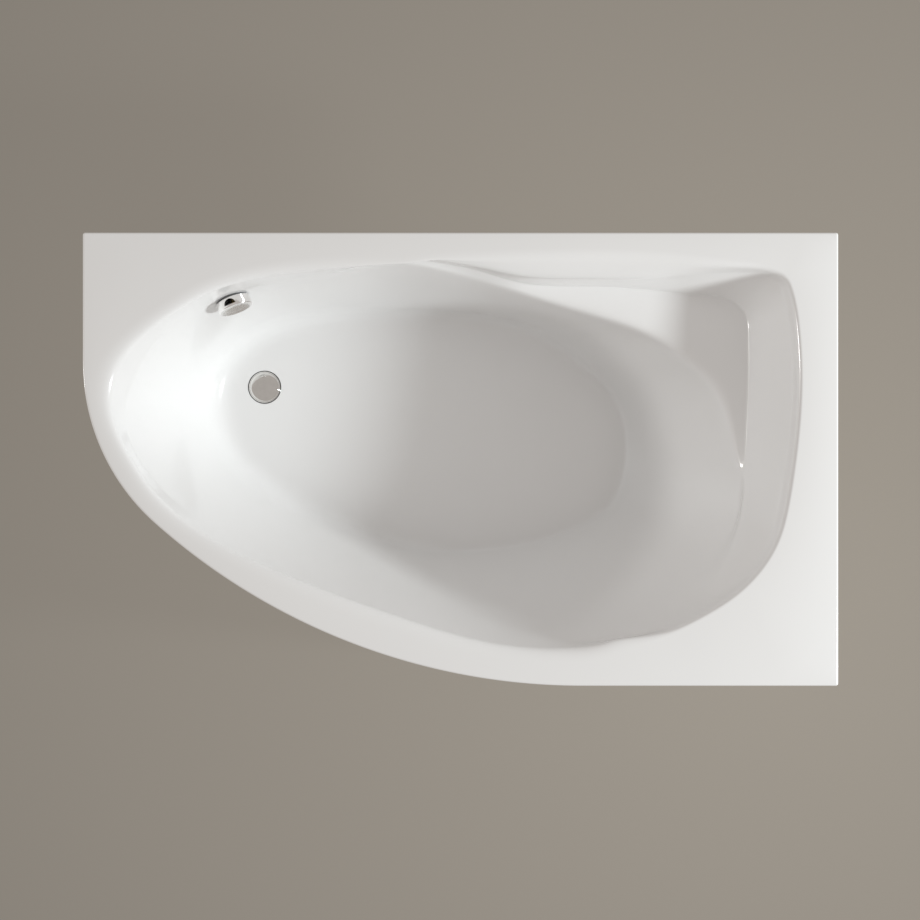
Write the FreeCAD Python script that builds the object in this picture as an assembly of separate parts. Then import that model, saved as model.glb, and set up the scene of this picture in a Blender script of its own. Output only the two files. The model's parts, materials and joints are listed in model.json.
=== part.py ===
import FreeCAD, Part
import math
import os

# Corner bathtub: acrylic tub on a board, two cross channels and five screw feet,
# with an apron, a drain with a lifting plug, an overflow with a turning knob and a drum trap.
# Millimetres, +Z up, +Y towards the long wall, +X towards the short wall.
# The origin lies on the floor, under the middle of the bounding box.

V = FreeCAD.Vector
UP = V(0, 0, 1)

# ---------------------------------------------------------------- driving sizes
LENGTH = 1500.0            # along the long wall
WIDTH = 900.0              # along the short wall
RIM_HEIGHT = 570.0         # floor of the room to the top of the rim
BASIN_DEPTH = 420.0        # rim to the floor of the basin
SEAT_DEPTH = 127.0         # rim to the front edge of the corner seat
WALL = 8.0                 # acrylic sheet with its glass-fibre backing
LIP_DROP = 35.0            # height of the turned-down edge of the rim
LIP_WALL = 6.0
CORNER_ROUND = 5.0         # square corners of the outline
EDGE_ROUND = 4.0           # top edge of the rim

RIM_BACK = 32.0            # flat rim widths
RIM_RIGHT = 69.0
RIM_FRONT = 65.0
RIM_LEFT = 45.0

FRONT_CURVE = 990.0        # curved part of the front, measured from the narrow end
FRONT_SWEEP = 1272.0       # large radius of the front
END_SWEEP = 428.0          # radius that turns the front into the narrow end

FLOOR_LENGTH = 868.0       # basin floor
FLOOR_WIDTH = 505.0
FLOOR_X = -85.0            # middle of the basin floor
FLOOR_Y = 59.0

STEP_FALL = 24.0           # little step inside the rim at the wide end
STEP_REACH = 20.0
ROLL_SOFT = 30.0           # how far the rounded inner edge of the rim reaches in
ROLL_CRISP = 7.0           # the same along the seat
FLOOR_BEND = 40.0          # reach of the rounding between basin wall and floor
FOOT_BEND = 100.0          # the same at the foot end, up the wall

# ---------------------------------------------------------------- drain, overflow and trap
DRAIN_X = -416.0
DRAIN_Y = 153.0
DRAIN_HOLE = 26.0          # radius of the hole in the basin floor
FLANGE_R = 36.0
FLANGE_THICK = 2.4
FLANGE_BORE = 22.0
PLUG_R = 31.0
PLUG_LIFT = 10.0
STEM_R = 4.0
RUN_CLEAR = 0.06           # radial clearance of shafts
SEAT_CLEAR = 0.3           # between pieces that rest on each other

OVERFLOW_X = -462.0
OVERFLOW_DEPTH = 105.0     # rim to the middle of the overflow
OVERFLOW_HOLE = 24.0
KNOB_R = 35.0
KNOB_THICK = 20.0
KNOB_GAP = 6.0             # between the wall and the knob

PIPE_R = 20.0              # outlet pipe inside its nut
SPIGOT_R = 21.5            # outlet pipe beyond its nut, for a 43 mm waste pipe socket
HOSE_R = 15.0
HOSE_BORE = 12.3
CABLE_R = 3.0

# ---------------------------------------------------------------- underframe
BOARD_THICK = 16.0
CHANNEL_WIDTH = 36.0
CHANNEL_HEIGHT = 26.0
CHANNEL_SHEET = 2.5
ROD_R = 6.0
PAD_R = 28.0
PAD_THICK = 16.0
PAD_RIM = 5.0
FOOT_TRAVEL = 25.0
BATTEN = 20.0              # timber strip under the rim, square section
PANEL_THICK = 4.0
PANEL_GROUND_GAP = 6.0
PANEL_OVERLAP = 22.0       # how far the apron reaches up behind the lip

# ---------------------------------------------------------------- derived levels
RIM_X0 = -LENGTH / 2
RIM_X1 = LENGTH / 2
RIM_Y0 = -WIDTH / 2
RIM_Y1 = WIDTH / 2
FLOOR_Z = RIM_HEIGHT - BASIN_DEPTH
UNDER_Z = FLOOR_Z - WALL
LIP_Z = RIM_HEIGHT - LIP_DROP
RIM_UNDER_Z = RIM_HEIGHT - WALL
BOARD_Z = UNDER_Z - BOARD_THICK
CHANNEL_Z = BOARD_Z - CHANNEL_HEIGHT
WEB_Z = BOARD_Z - CHANNEL_SHEET        # underside of the channels' web

PIECES = {}


def keep(name, shape):
    """Note one finished piece, or one group of like pieces, under its own name."""
    PIECES[name] = shape


# ---------------------------------------------------------------- outlines of the basin
# Each outline is a closed curve through a few points, given as fractions of its own box:
# -1 to 1 from left to right and from front to back.
MOUTH = [
    (1.000, 0.352), (0.991, 0.600), (0.967, 0.775), (0.918, 0.897), (0.832, 0.950),
    (0.640, 0.984), (0.180, 1.000), (-0.440, 0.957), (-0.728, 0.843), (-0.900, 0.640),
    (-0.990, 0.425), (-0.990, 0.150), (-0.951, 0.005), (-0.848, -0.252), (-0.656, -0.494),
    (-0.440, -0.665), (-0.155, -0.845), (0.075, -0.960), (0.300, -1.000), (0.475, -0.960),
    (0.700, -0.806), (0.850, -0.624), (0.930, -0.440), (0.975, -0.142),
]
FLOOR_OVAL = [
    (1.000, 0.000), (0.950, 0.270), (0.804, 0.558), (0.560, 0.850), (0.316, 0.970),
    (-0.050, 1.002), (-0.540, 0.962), (-0.830, 0.770), (-0.970, 0.510), (-0.998, 0.200),
    (-0.905, -0.222), (-0.735, -0.475), (-0.540, -0.661), (-0.295, -0.826), (-0.050, -0.962),
    (0.194, -1.000), (0.440, -0.965), (0.780, -0.788), (0.925, -0.618), (0.994, -0.325),
]
# Outer fold of the seat and its front edge: the third figure is the depth as a share of the seat's.
# Past the seat's two tips both lines lie on the plain wall, at the bearings listed below.
FOLD = [
    (0.838, -0.160, 0.86), (0.840, -0.010, 0.92), (0.843, 0.150, 0.93), (0.850, 0.400, 0.93),
    (0.851, 0.600, 0.93), (0.845, 0.690, 0.93), (0.815, 0.752, 0.93), (0.700, 0.790, 0.93),
    (0.540, 0.820, 0.93), (0.350, 0.832, 0.92), (0.190, 0.848, 0.84), (0.070, 0.905, 0.58),
    (-0.040, 0.940, 0.34), (-0.155, 0.957, 0.18),
]
EDGE = [
    (0.773, -0.549, 0.83), (0.825, -0.397, 0.86),
    (0.836, -0.180, 0.98), (0.804, 0.010, 1.00), (0.770, 0.160, 1.00), (0.718, 0.360, 1.00),
    (0.658, 0.470, 1.00), (0.598, 0.558, 1.00), (0.424, 0.678, 1.00), (0.250, 0.765, 1.00),
    (0.062, 0.870, 0.90), (-0.040, 0.905, 0.55), (-0.155, 0.930, 0.33),
]
PLAIN_WALL = {"fold": (0.45, [125, 150, 175, 200, 225, 250, 275, 295, 315, 335]),
              "edge": (0.80, [125, 150, 175, 200, 225, 250, 275, 300])}

RAY_COUNT = 72                  # directions in which the basin's profile is drawn
RAY_FOCUS = [(28.0, 9.0, 3.0), (168.0, 16.0, 2.0), (-8.0, 7.0, 1.5)]   # bearing, width, extra density

MOUTH_X = (RIM_X0 + RIM_LEFT, RIM_X1 - RIM_RIGHT)
MOUTH_Y = (RIM_Y0 + RIM_FRONT, RIM_Y1 - RIM_BACK)
MOUTH_MID_X = sum(MOUTH_X) / 2
MOUTH_MID_Y = sum(MOUTH_Y) / 2
MOUTH_HALF_X = (MOUTH_X[1] - MOUTH_X[0]) / 2
MOUTH_HALF_Y = (MOUTH_Y[1] - MOUTH_Y[0]) / 2


def closed_curve(points):
    """The smooth closed curve through the points, cut into many short steps."""
    curve = Part.BSplineCurve()
    curve.interpolate(Points=points, PeriodicFlag=True)
    return curve.discretize(Number=1600)


def centre_at(depth):
    """Middle of the basin, which shifts from the mouth's middle to the floor's on the way down."""
    share = depth / BASIN_DEPTH
    x = MOUTH_MID_X + (FLOOR_X - MOUTH_MID_X) * share
    y = MOUTH_MID_Y + (FLOOR_Y - MOUTH_MID_Y) * share
    return V(x, y, 0)


def at_bearing(steps, bearing, centre):
    """The point of a closed run of steps that lies in one direction from the centre."""
    ray = V(math.cos(bearing), math.sin(bearing), 0)
    side = V(-ray.y, ray.x, 0)
    before = steps[-1]
    for after in steps:
        a = (before - centre).dot(side)
        b = (after - centre).dot(side)
        if a <= 0 < b and (after - centre).dot(ray) > 0:
            return before + (after - before) * (-a / (b - a))
        before = after
    raise ValueError("the outline is not closed round the centre")


def wall_point(bearing, depth):
    """A point of the plain wall, which runs straight from the rolled rim to the basin floor."""
    mouth = at_bearing(MOUTH_STEPS, bearing, centre_at(0))
    floor = at_bearing(FLOOR_STEPS, bearing, centre_at(BASIN_DEPTH))
    brow = mouth - V(math.cos(bearing), math.sin(bearing), 0) * ROLL_SOFT
    return brow + (floor - brow) * (depth / BASIN_DEPTH)


def seat_curve(shares, plain):
    """Closed curve through the seat's own points and, past its tips, points of the plain wall."""
    points = []
    for x, y, depth in shares:
        z = RIM_HEIGHT - depth * SEAT_DEPTH
        points.append(V(MOUTH_MID_X + x * MOUTH_HALF_X, MOUTH_MID_Y + y * MOUTH_HALF_Y, z))
    share, bearings = plain
    for degrees in bearings:
        points.append(wall_point(math.radians(degrees), share * SEAT_DEPTH))
    centre = centre_at(SEAT_DEPTH)
    points.sort(key=lambda p: math.atan2(p.y - centre.y, p.x - centre.x))
    return closed_curve(points)


MOUTH_STEPS = closed_curve([
    V(MOUTH_MID_X + x * MOUTH_HALF_X, MOUTH_MID_Y + y * MOUTH_HALF_Y, RIM_HEIGHT) for x, y in MOUTH])
FLOOR_STEPS = closed_curve([
    V(FLOOR_X + x * FLOOR_LENGTH / 2, FLOOR_Y + y * FLOOR_WIDTH / 2, FLOOR_Z) for x, y in FLOOR_OVAL])
FOLD_STEPS = seat_curve(FOLD, PLAIN_WALL["fold"])
EDGE_STEPS = seat_curve(EDGE, PLAIN_WALL["edge"])


# ---------------------------------------------------------------- the basin's surface
def hump(degrees, low, high, fade):
    """1 between two bearings, falling smoothly to 0 over the fade on either side."""
    middle = (low + high) / 2
    away = abs((degrees - middle + 180) % 360 - 180) - (high - low) / 2
    share = min(max(1 - away / fade, 0.0), 1.0)
    return share * share * (3 - 2 * share)


def ray_bearings():
    """Bearings that crowd together where the outlines turn tightly."""
    fine = 3600
    density = []
    for i in range(fine):
        degrees = 360.0 * i / fine
        weight = 1.0
        for middle, width, extra in RAY_FOCUS:
            away = (degrees - middle + 180) % 360 - 180
            weight += extra * math.exp(-(away / width) ** 2)
        density.append(weight)
    step = sum(density) / RAY_COUNT
    found = []
    run = 0.0
    for i, weight in enumerate(density):
        if run >= step * len(found):
            found.append(math.radians(360.0 * i / fine))
        run += weight
    return found[:RAY_COUNT]


def towards(start, end, distance, most=0.42):
    """A point on the way to the end, never further than a share of the way."""
    way = end - start
    return start + way * min(distance / way.Length, most)


def profile(bearing):
    """Control points of the basin's section in one direction, from the rim to the basin floor."""
    degrees = math.degrees(bearing)
    inward = V(-math.cos(bearing), -math.sin(bearing), 0)
    mouth = at_bearing(MOUTH_STEPS, bearing, centre_at(0))
    fold = at_bearing(FOLD_STEPS, bearing, centre_at(SEAT_DEPTH))
    edge = at_bearing(EDGE_STEPS, bearing, centre_at(SEAT_DEPTH))
    floor = at_bearing(FLOOR_STEPS, bearing, centre_at(BASIN_DEPTH))

    step = hump(degrees, -22, 26, 24)
    seat_side = hump(degrees, -45, 85, 60)
    foot_end = hump(degrees, 150, 190, 80)
    roll = ROLL_SOFT + (ROLL_CRISP - ROLL_SOFT) * seat_side
    bend = FLOOR_BEND + (FOOT_BEND - FLOOR_BEND) * foot_end

    brow = mouth + inward * roll
    plain_foot = brow + (fold - brow) * 0.6
    cut_foot = mouth + inward * STEP_REACH - UP * STEP_FALL
    foot = plain_foot + (cut_foot - plain_foot) * step

    floor_in = floor + inward * FLOOR_BEND
    return [
        mouth,
        brow,
        brow + (foot - brow) * 0.55,
        foot,
        towards(foot, fold, 14.0, 0.35),
        towards(fold, foot, 18.0, 0.35),
        fold,
        towards(fold, edge, 18.0),
        towards(edge, fold, 30.0),
        edge,
        towards(edge, floor, 34.0),
        edge + (floor - edge) * 0.38,
        edge + (floor - edge) * 0.64,
        towards(floor, edge, bend, 0.3),
        floor,
        floor_in,
        floor_in + inward * (0.5 * FLOOR_BEND),
    ]


def pulled_out(net):
    """Push each control point out so that the surface passes about where the point was."""
    count = len(net)
    result = []
    for i, row in enumerate(net):
        before = net[i - 1]
        after = net[(i + 1) % count]
        result.append([p - (a - p * 2 + b) / 6 for p, a, b in zip(row, before, after)])
    return result


def unit(vector):
    return vector / vector.Length


def thickened(net, distance):
    """The control net moved outwards by the thickness of the wall, square to the surface."""
    count = len(net)
    last = len(net[0]) - 1
    result = []
    for i, row in enumerate(net):
        before = net[i - 1]
        after = net[(i + 1) % count]
        moved = []
        for j, point in enumerate(row):
            along = after[j] - before[j]
            above = unit((row[j] - row[j - 1]).cross(along)) if j else UP * -1
            below = unit((row[j + 1] - row[j]).cross(along)) if j < last else UP * -1
            normal = unit(above + below)
            moved.append(point + normal * (distance / normal.dot(above)))
        result.append(moved)
    return result


def surface_of(net):
    """Smooth surface over a control net that is closed round the basin."""
    rays = len(net)
    rows = len(net[0])
    surface = Part.BSplineSurface()
    surface.buildFromPolesMultsKnots(
        net,
        [1] * (rays + 1), [4] + [1] * (rows - 4) + [4],
        [float(i) for i in range(rays + 1)], [float(i) for i in range(rows - 2)],
        True, False, 3, 3)
    return surface


def outline(inset, z):
    """Closed outline of the rim, drawn in from its outer edge, at one height."""
    left = RIM_X0 + inset
    right = RIM_X1 - inset
    front = RIM_Y0 + inset
    back = RIM_Y1 - inset
    big = FRONT_SWEEP - inset
    small = END_SWEEP - inset
    corner = max(CORNER_ROUND - inset, 1.0)
    start_x = RIM_X0 + FRONT_CURVE
    big_y = front + big
    small_x = left + small
    gap = big - small
    share = (start_x - small_x) / gap
    small_y = big_y - gap * math.sqrt(1 - share * share)
    join = math.asin(share)

    def on(cx, cy, radius, angle):
        return V(cx - radius * math.sin(angle), cy - radius * math.cos(angle), z)

    def turn(cx, cy, from_deg):
        spots = []
        for degrees in (from_deg, from_deg + 45, from_deg + 90):
            a = math.radians(degrees)
            spots.append(V(cx + corner * math.cos(a), cy + corner * math.sin(a), z))
        return spots

    foot_right = turn(right - corner, front + corner, -90)
    top_right = turn(right - corner, back - corner, 0)
    top_left = turn(left + corner, back - corner, 90)
    a = on(start_x, big_y, big, 0)
    b = on(start_x, big_y, big, join / 2)
    c = on(start_x, big_y, big, join)
    d = on(small_x, small_y, small, (join + math.pi / 2) / 2)
    e = V(left, small_y, z)
    edges = [
        Part.makeLine(a, foot_right[0]),
        Part.Arc(*foot_right).toShape(),
        Part.makeLine(foot_right[2], top_right[0]),
        Part.Arc(*top_right).toShape(),
        Part.makeLine(top_right[2], top_left[0]),
        Part.Arc(*top_left).toShape(),
        Part.makeLine(top_left[2], e),
        Part.Arc(e, d, c).toShape(),
        Part.Arc(c, b, a).toShape(),
    ]
    return Part.Wire(edges)


def tray():
    """The flat rim and its turned-down lip, before the basin is let into it."""
    block = Part.Face(outline(0, LIP_Z)).extrude(UP * LIP_DROP)
    top = [e for e in block.Edges if min(v.Z for v in e.Vertexes) > RIM_HEIGHT - 0.01]
    block = block.makeFillet(EDGE_ROUND, top)
    hollow = Part.Face(outline(LIP_WALL, LIP_Z - 1)).extrude(UP * (RIM_UNDER_Z - LIP_Z + 1))
    return block.cut(hollow)


def holed(face, ring):
    """The same flat face with the basin's ring cut out of it."""
    flat = Part.Face([face.OuterWire, ring])
    flat.validate()
    return flat


BASIN_NET = pulled_out([profile(b) for b in ray_bearings()])
BASIN = surface_of(BASIN_NET)
UNDERSIDE = surface_of(thickened(BASIN_NET, WALL))


# Heights, counted in control rows, at which the section bends: one ring of the wall at each.
LEVELS = (0.0, 0.6, 2.4, 4.7, 5.4, 7.6, 8.2, 8.9, 9.6,
          10.3, 11.0, 11.7, 12.3, 12.7, 13.1, 13.5, 14.0)


def rings_of(surface):
    return [Part.Wire([surface.vIso(level).toShape()]) for level in LEVELS]


def bath_shell():
    """Rim, lip and basin in one thickness of laminate, closed as one solid."""
    inner_rings = rings_of(BASIN)
    outer_rings = rings_of(UNDERSIDE)
    faces = []
    for face in tray().Faces:
        box = face.BoundBox
        flat = box.ZLength < 0.01
        if flat and abs(box.ZMax - RIM_HEIGHT) < 0.01:
            faces.append(holed(face, inner_rings[0]))
        elif flat and abs(box.ZMax - RIM_UNDER_Z) < 0.01:
            faces.append(holed(face, outer_rings[0]))
        else:
            faces.append(face)
    for rings in (inner_rings, outer_rings):
        faces += Part.makeLoft(rings, False, True).Faces
        faces.append(Part.Face(rings[-1]))
    shell = Part.makeShell(faces)
    shell.sewShape()
    solid = Part.Solid(Part.Shell(shell.Faces))
    if solid.Volume < 0:
        solid.reverse()
    return solid


# ---------------------------------------------------------------- small helpers
def cylinder(radius, start, end):
    """Round bar between two points."""
    way = end - start
    return Part.makeCylinder(radius, way.Length, start, way)


def tube(outer, inner, start, end):
    way = unit(end - start)
    return cylinder(outer, start, end).cut(cylinder(inner, start - way, end + way))


def box(x0, x1, y0, y1, z0, z1):
    return Part.makeBox(x1 - x0, y1 - y0, z1 - z0, V(x0, y0, z0))


def group(shapes):
    return Part.makeCompound(shapes)


def turned(points, origin, axis):
    """Solid of revolution: the outline is given as (distance along the axis, radius)."""
    side = unit(axis.cross(UP)) if abs(axis.dot(UP)) < 0.9 else V(1, 0, 0)
    spots = [origin + axis * a + side * r for a, r in points]
    face = Part.Face(Part.makePolygon(spots + spots[:1]))
    return face.revolve(origin, axis, 360)


def nut(radius, bore, start, end, sides=6):
    """Flat-sided nut: radius to the corners."""
    way = unit(end - start)
    side = unit(way.cross(V(1, 0.1, 0.2)))
    other = way.cross(side)
    spots = []
    for i in range(sides + 1):
        a = 2 * math.pi * i / sides
        spots.append(start + side * (radius * math.cos(a)) + other * (radius * math.sin(a)))
    body = Part.Face(Part.makePolygon(spots)).extrude(end - start)
    return body.cut(cylinder(bore, start - way, end + way)) if bore else body


# ---------------------------------------------------------------- overflow frame
def wall_spot(shell):
    """Point and inward direction of the basin wall where the overflow sits."""
    z = RIM_HEIGHT - OVERFLOW_DEPTH
    line = Part.makeLine(V(OVERFLOW_X, MOUTH_MID_Y, z), V(OVERFLOW_X, RIM_Y1, z))
    spots = [v.Point for v in shell.common(line).Vertexes]
    spot = min(spots, key=lambda p: p.y)
    u, v = BASIN.parameter(spot)
    return spot, BASIN.normal(u, v)


PLAIN_SHELL = bath_shell()
SPOT, INTO = wall_spot(PLAIN_SHELL)
UPHILL = unit(UP - INTO * INTO.z)
ACROSS = UPHILL.cross(INTO)


def overflow(along, up=0.0, across=0.0):
    """A point of the overflow, counted from the wall's inner face towards the bather."""
    return SPOT + INTO * along + UPHILL * up + ACROSS * across


def drain(z, out=0.0, direction=V(1, 0, 0)):
    """A point of the drain: its height, and its distance out along a level direction."""
    return V(DRAIN_X, DRAIN_Y, z) + direction * out


GASKET_THICK = 3.0
CHAMBER_DEEP = 34.0
CHAMBER_BACK = -WALL - GASKET_THICK        # where the overflow's chamber starts behind the wall
SPOUT_AT = CHAMBER_BACK - CHAMBER_DEEP / 2 - 3


def hose_line(z):
    """The point at one height of the line down from the overflow's spout."""
    top = overflow(SPOUT_AT)
    return top - UPHILL * ((top.z - z) / UPHILL.z)


# ---------------------------------------------------------------- tub
RECESS_R = FLANGE_R + 1.5
RECESS = 3.0
RECESS_Z = FLOOR_Z - RECESS


def tub():
    shell = PLAIN_SHELL
    shell = shell.cut(cylinder(RECESS_R, drain(RECESS_Z), drain(FLOOR_Z + 20)))
    shell = shell.cut(cylinder(DRAIN_HOLE, drain(UNDER_Z - 20), drain(FLOOR_Z)))
    return shell.cut(cylinder(OVERFLOW_HOLE, overflow(-40), overflow(30)))


SHELL = tub()
keep("bath_shell", SHELL)


# ---------------------------------------------------------------- board, channels and feet
BOARD_SHARES = [(-0.59, 0.66), (0.44, 0.66), (0.70, 0.26), (0.70, -0.42),
                (0.48, -0.66), (-0.10, -0.66), (-0.59, -0.36)]
FOOT_CHANNEL_X = -285.0
HEAD_CHANNEL_X = 165.0
FOOT_CHANNEL_Y = (-205.0, 325.0)
HEAD_CHANNEL_Y = (-335.0, 385.0)
END_TO_ROD = 45.0          # from a channel's end to its rod
ROD_PROUD = 13.0           # threaded rod above the channel
NUT_R = 11.0
NUT_THICK = 9.0
SCREW_R = 2.5
SCREW_HEAD_R = 5.0
SCREW_HEAD = 3.0


def base_board():
    spots = []
    for x, y in BOARD_SHARES:
        spots.append(V(FLOOR_X + x * FLOOR_LENGTH / 2, FLOOR_Y + y * FLOOR_WIDTH / 2, BOARD_Z))
    return Part.Face(Part.makePolygon(spots + spots[:1])).extrude(UP * BOARD_THICK)


def channel(x, ends, screw_ys):
    """Steel U section across the underside, open below, with holes for two rods and its screws."""
    half = CHANNEL_WIDTH / 2
    sheet = CHANNEL_SHEET
    bar = box(x - half, x + half, ends[0], ends[1], CHANNEL_Z, BOARD_Z)
    hollow = box(x - half + sheet, x + half - sheet, ends[0] - 1, ends[1] + 1,
                 CHANNEL_Z - 1, BOARD_Z - sheet)
    bar = bar.cut(hollow)
    for y in (ends[0] + END_TO_ROD, ends[1] - END_TO_ROD):
        bar = bar.cut(cylinder(ROD_R + 0.5, V(x, y, CHANNEL_Z - 1), V(x, y, BOARD_Z + 1)))
    for y in screw_ys:
        bar = bar.cut(cylinder(SCREW_R + 0.1, V(x, y, CHANNEL_Z - 1), V(x, y, BOARD_Z + 1)))
    return bar


def screw(head_at, direction, length):
    """Cylinder-head screw, drawn from the underside of its head."""
    shank = cylinder(SCREW_R, head_at, head_at + direction * length)
    return shank.fuse(cylinder(SCREW_HEAD_R, head_at - direction * SCREW_HEAD, head_at))


def foot_pad(x, y):
    """Moulded foot with a socket for the rod's end."""
    socket = ROD_R + RUN_CLEAR
    return turned([(0, 0), (0, PAD_R), (PAD_RIM, PAD_R), (PAD_THICK, ROD_R + 4), (PAD_THICK, socket),
                   (PAD_RIM, socket), (PAD_RIM, 0)], V(x, y, 0), UP)


def foot_rod(x, y, top):
    return cylinder(ROD_R, V(x, y, PAD_RIM), V(x, y, top))


BOARD = base_board()
CHANNELS = []
CHANNEL_SCREWS = []
FEET = []                  # x, y, top of the rod
for name, x, ends in (("foot_end_channel", FOOT_CHANNEL_X, FOOT_CHANNEL_Y),
                      ("head_end_channel", HEAD_CHANNEL_X, HEAD_CHANNEL_Y)):
    screw_ys = [FLOOR_Y + share * FLOOR_WIDTH / 2 for share in (-0.28, 0.12, 0.52)]
    bar = channel(x, ends, screw_ys)
    CHANNELS.append(bar)
    keep(name, bar)
    for y in screw_ys:
        start = V(x, y, WEB_Z)
        length = CHANNEL_SHEET + BOARD_THICK - 4
        CHANNEL_SCREWS.append(screw(start, UP, length))
        BOARD = BOARD.cut(cylinder(SCREW_R + 0.05, start, start + UP * (length + 0.5)))
    for y in (ends[0] + END_TO_ROD, ends[1] - END_TO_ROD):
        FEET.append((x, y, BOARD_Z + ROD_PROUD))
keep("base_board", BOARD)
keep("channel_screws", group(CHANNEL_SCREWS))

CORNER_X = RIM_X1 - 62.0
CORNER_Y = RIM_Y0 + 56.0
BLOCK = 44.0
FEET.append((CORNER_X, CORNER_Y, RIM_UNDER_Z - 10))

NUTS = []
for number, (x, y, top) in enumerate(FEET, 1):
    keep("foot_rod_%d" % number, foot_rod(x, y, top))
    keep("foot_pad_%d" % number, foot_pad(x, y))
    bore = ROD_R + RUN_CLEAR
    if number < 5:
        levels = (WEB_Z - NUT_THICK, BOARD_Z)
    else:
        levels = (RIM_UNDER_Z - BLOCK - NUT_THICK,)
    for z in levels:
        NUTS.append(nut(NUT_R, bore, V(x, y, z), V(x, y, z + NUT_THICK)))
keep("foot_nuts", group(NUTS))

corner = box(CORNER_X - BLOCK / 2, CORNER_X + BLOCK / 2, CORNER_Y - BLOCK / 2, CORNER_Y + BLOCK / 2,
             RIM_UNDER_Z - BLOCK, RIM_UNDER_Z)
corner = corner.cut(cylinder(ROD_R + 0.5, V(CORNER_X, CORNER_Y, 0), V(CORNER_X, CORNER_Y, RIM_UNDER_Z - 8)))
keep("corner_block", corner)


# ---------------------------------------------------------------- battens and wall brackets
BATTEN_Z = RIM_UNDER_Z - BATTEN
INNER_BACK = RIM_Y1 - LIP_WALL
INNER_RIGHT = RIM_X1 - LIP_WALL
BACK_BATTEN_X = (-360.0, 420.0)
RIGHT_BATTEN_Y = (-240.0, 300.0)
BRACKET_WIDTH = 30.0
BRACKET_SHEET = 2.0
BRACKET_DROP = 62.0
WALL_HOLE_R = 3.5
WALL_HOLE_DROP = 47.0      # wall screw below the batten
BACK_BRACKETS = (-300.0, 360.0)
RIGHT_BRACKETS = (-180.0, 240.0)

keep("rim_batten_back", box(BACK_BATTEN_X[0], BACK_BATTEN_X[1],
                            INNER_BACK - 1 - BATTEN, INNER_BACK - 1, BATTEN_Z, RIM_UNDER_Z))
keep("rim_batten_side", box(INNER_RIGHT - 1 - BATTEN, INNER_RIGHT - 1,
                            RIGHT_BATTEN_Y[0], RIGHT_BATTEN_Y[1], BATTEN_Z, RIM_UNDER_Z))


def wall_bracket():
    """Bent strap, drawn with its wall flange on the plane y = 0 and its batten at z = 0."""
    s = BRACKET_SHEET
    reach = LIP_WALL + 1.5
    low = -(LIP_DROP - WALL - BATTEN + 6)
    far = -(reach + BATTEN - 2)
    line = [(far, 0), (-reach, 0), (-reach, low), (0, low), (0, -BRACKET_DROP),
            (-s, -BRACKET_DROP), (-s, low - s), (-reach - s, low - s), (-reach - s, -s), (far, -s)]
    spots = [V(-BRACKET_WIDTH / 2, y, z) for y, z in line]
    strap = Part.Face(Part.makePolygon(spots + spots[:1])).extrude(V(BRACKET_WIDTH, 0, 0))
    strap = strap.cut(cylinder(WALL_HOLE_R, V(0, -5, -WALL_HOLE_DROP), V(0, 5, -WALL_HOLE_DROP)))
    middle = -(LIP_WALL + 1 + BATTEN / 2)
    return strap.cut(cylinder(SCREW_R + 0.1, V(0, middle, -5), V(0, middle, 5)))


def placed(shape, spot, degrees):
    """A copy turned about the vertical and moved to its place."""
    moved = shape.copy()
    moved.rotate(V(0, 0, 0), UP, degrees)
    moved.translate(spot)
    return moved


STRAP = wall_bracket()
keep("wall_brackets_back", group([placed(STRAP, V(x, RIM_Y1, BATTEN_Z), 0) for x in BACK_BRACKETS]))
keep("wall_brackets_side", group([placed(STRAP, V(RIM_X1, y, BATTEN_Z), -90) for y in RIGHT_BRACKETS]))

MIDDLE_IN = LIP_WALL + 1 + BATTEN / 2
SCREW_SPOTS = [V(x, RIM_Y1 - MIDDLE_IN, BATTEN_Z - BRACKET_SHEET) for x in BACK_BRACKETS]
SCREW_SPOTS += [V(RIM_X1 - MIDDLE_IN, y, BATTEN_Z - BRACKET_SHEET) for y in RIGHT_BRACKETS]
BATTEN_SCREW = 16.0
keep("bracket_screws", group([screw(spot, UP, BATTEN_SCREW) for spot in SCREW_SPOTS]))
PILOTS = group([cylinder(SCREW_R + 0.05, spot, spot + UP * (BATTEN_SCREW + 0.5)) for spot in SCREW_SPOTS])
for name in ("rim_batten_back", "rim_batten_side"):
    keep(name, PIECES[name].cut(PILOTS))


# ---------------------------------------------------------------- front panel
PANEL_OUT = LIP_WALL + 0.5
PANEL_IN = PANEL_OUT + PANEL_THICK
PANEL_Z0 = PANEL_GROUND_GAP
PANEL_Z1 = LIP_Z + PANEL_OVERLAP
PANEL_RETURN = 16.0
PANEL_END_X = RIM_X1 - LIP_WALL - 1.0
PANEL_END_Y = RIM_Y1 - LIP_WALL - 1.0


def band(out, inside, z0, z1):
    """The strip between two insets of the outline, open along both walls."""
    ring = Part.Face(outline(out, z0)).extrude(UP * (z1 - z0))
    ring = ring.cut(Part.Face(outline(inside, z0 - 1)).extrude(UP * (z1 - z0 + 2)))
    ring = ring.cut(box(RIM_X0 - 1, RIM_X1 + 1, PANEL_END_Y, RIM_Y1 + 1, z0 - 1, z1 + 1))
    ring = ring.cut(box(PANEL_END_X, RIM_X1 + 1, RIM_Y0 - 1, RIM_Y1 + 1, z0 - 1, z1 + 1))
    r = CORNER_ROUND
    back = box(RIM_X0 + inside, RIM_X1 + 1, RIM_Y1 - inside - r, RIM_Y1 + 1, z0 - 1, z1 + 1)
    side = box(RIM_X1 - inside - r, RIM_X1 + 1, RIM_Y0 + inside, RIM_Y1 + 1, z0 - 1, z1 + 1)
    return ring.cut(back).cut(side)


panel = band(PANEL_OUT, PANEL_IN, PANEL_Z0, PANEL_Z1)
panel = panel.fuse(band(PANEL_IN, PANEL_IN + PANEL_RETURN, PANEL_Z0, PANEL_Z0 + PANEL_THICK))
keep("front_panel", panel.removeSplitter())

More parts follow.
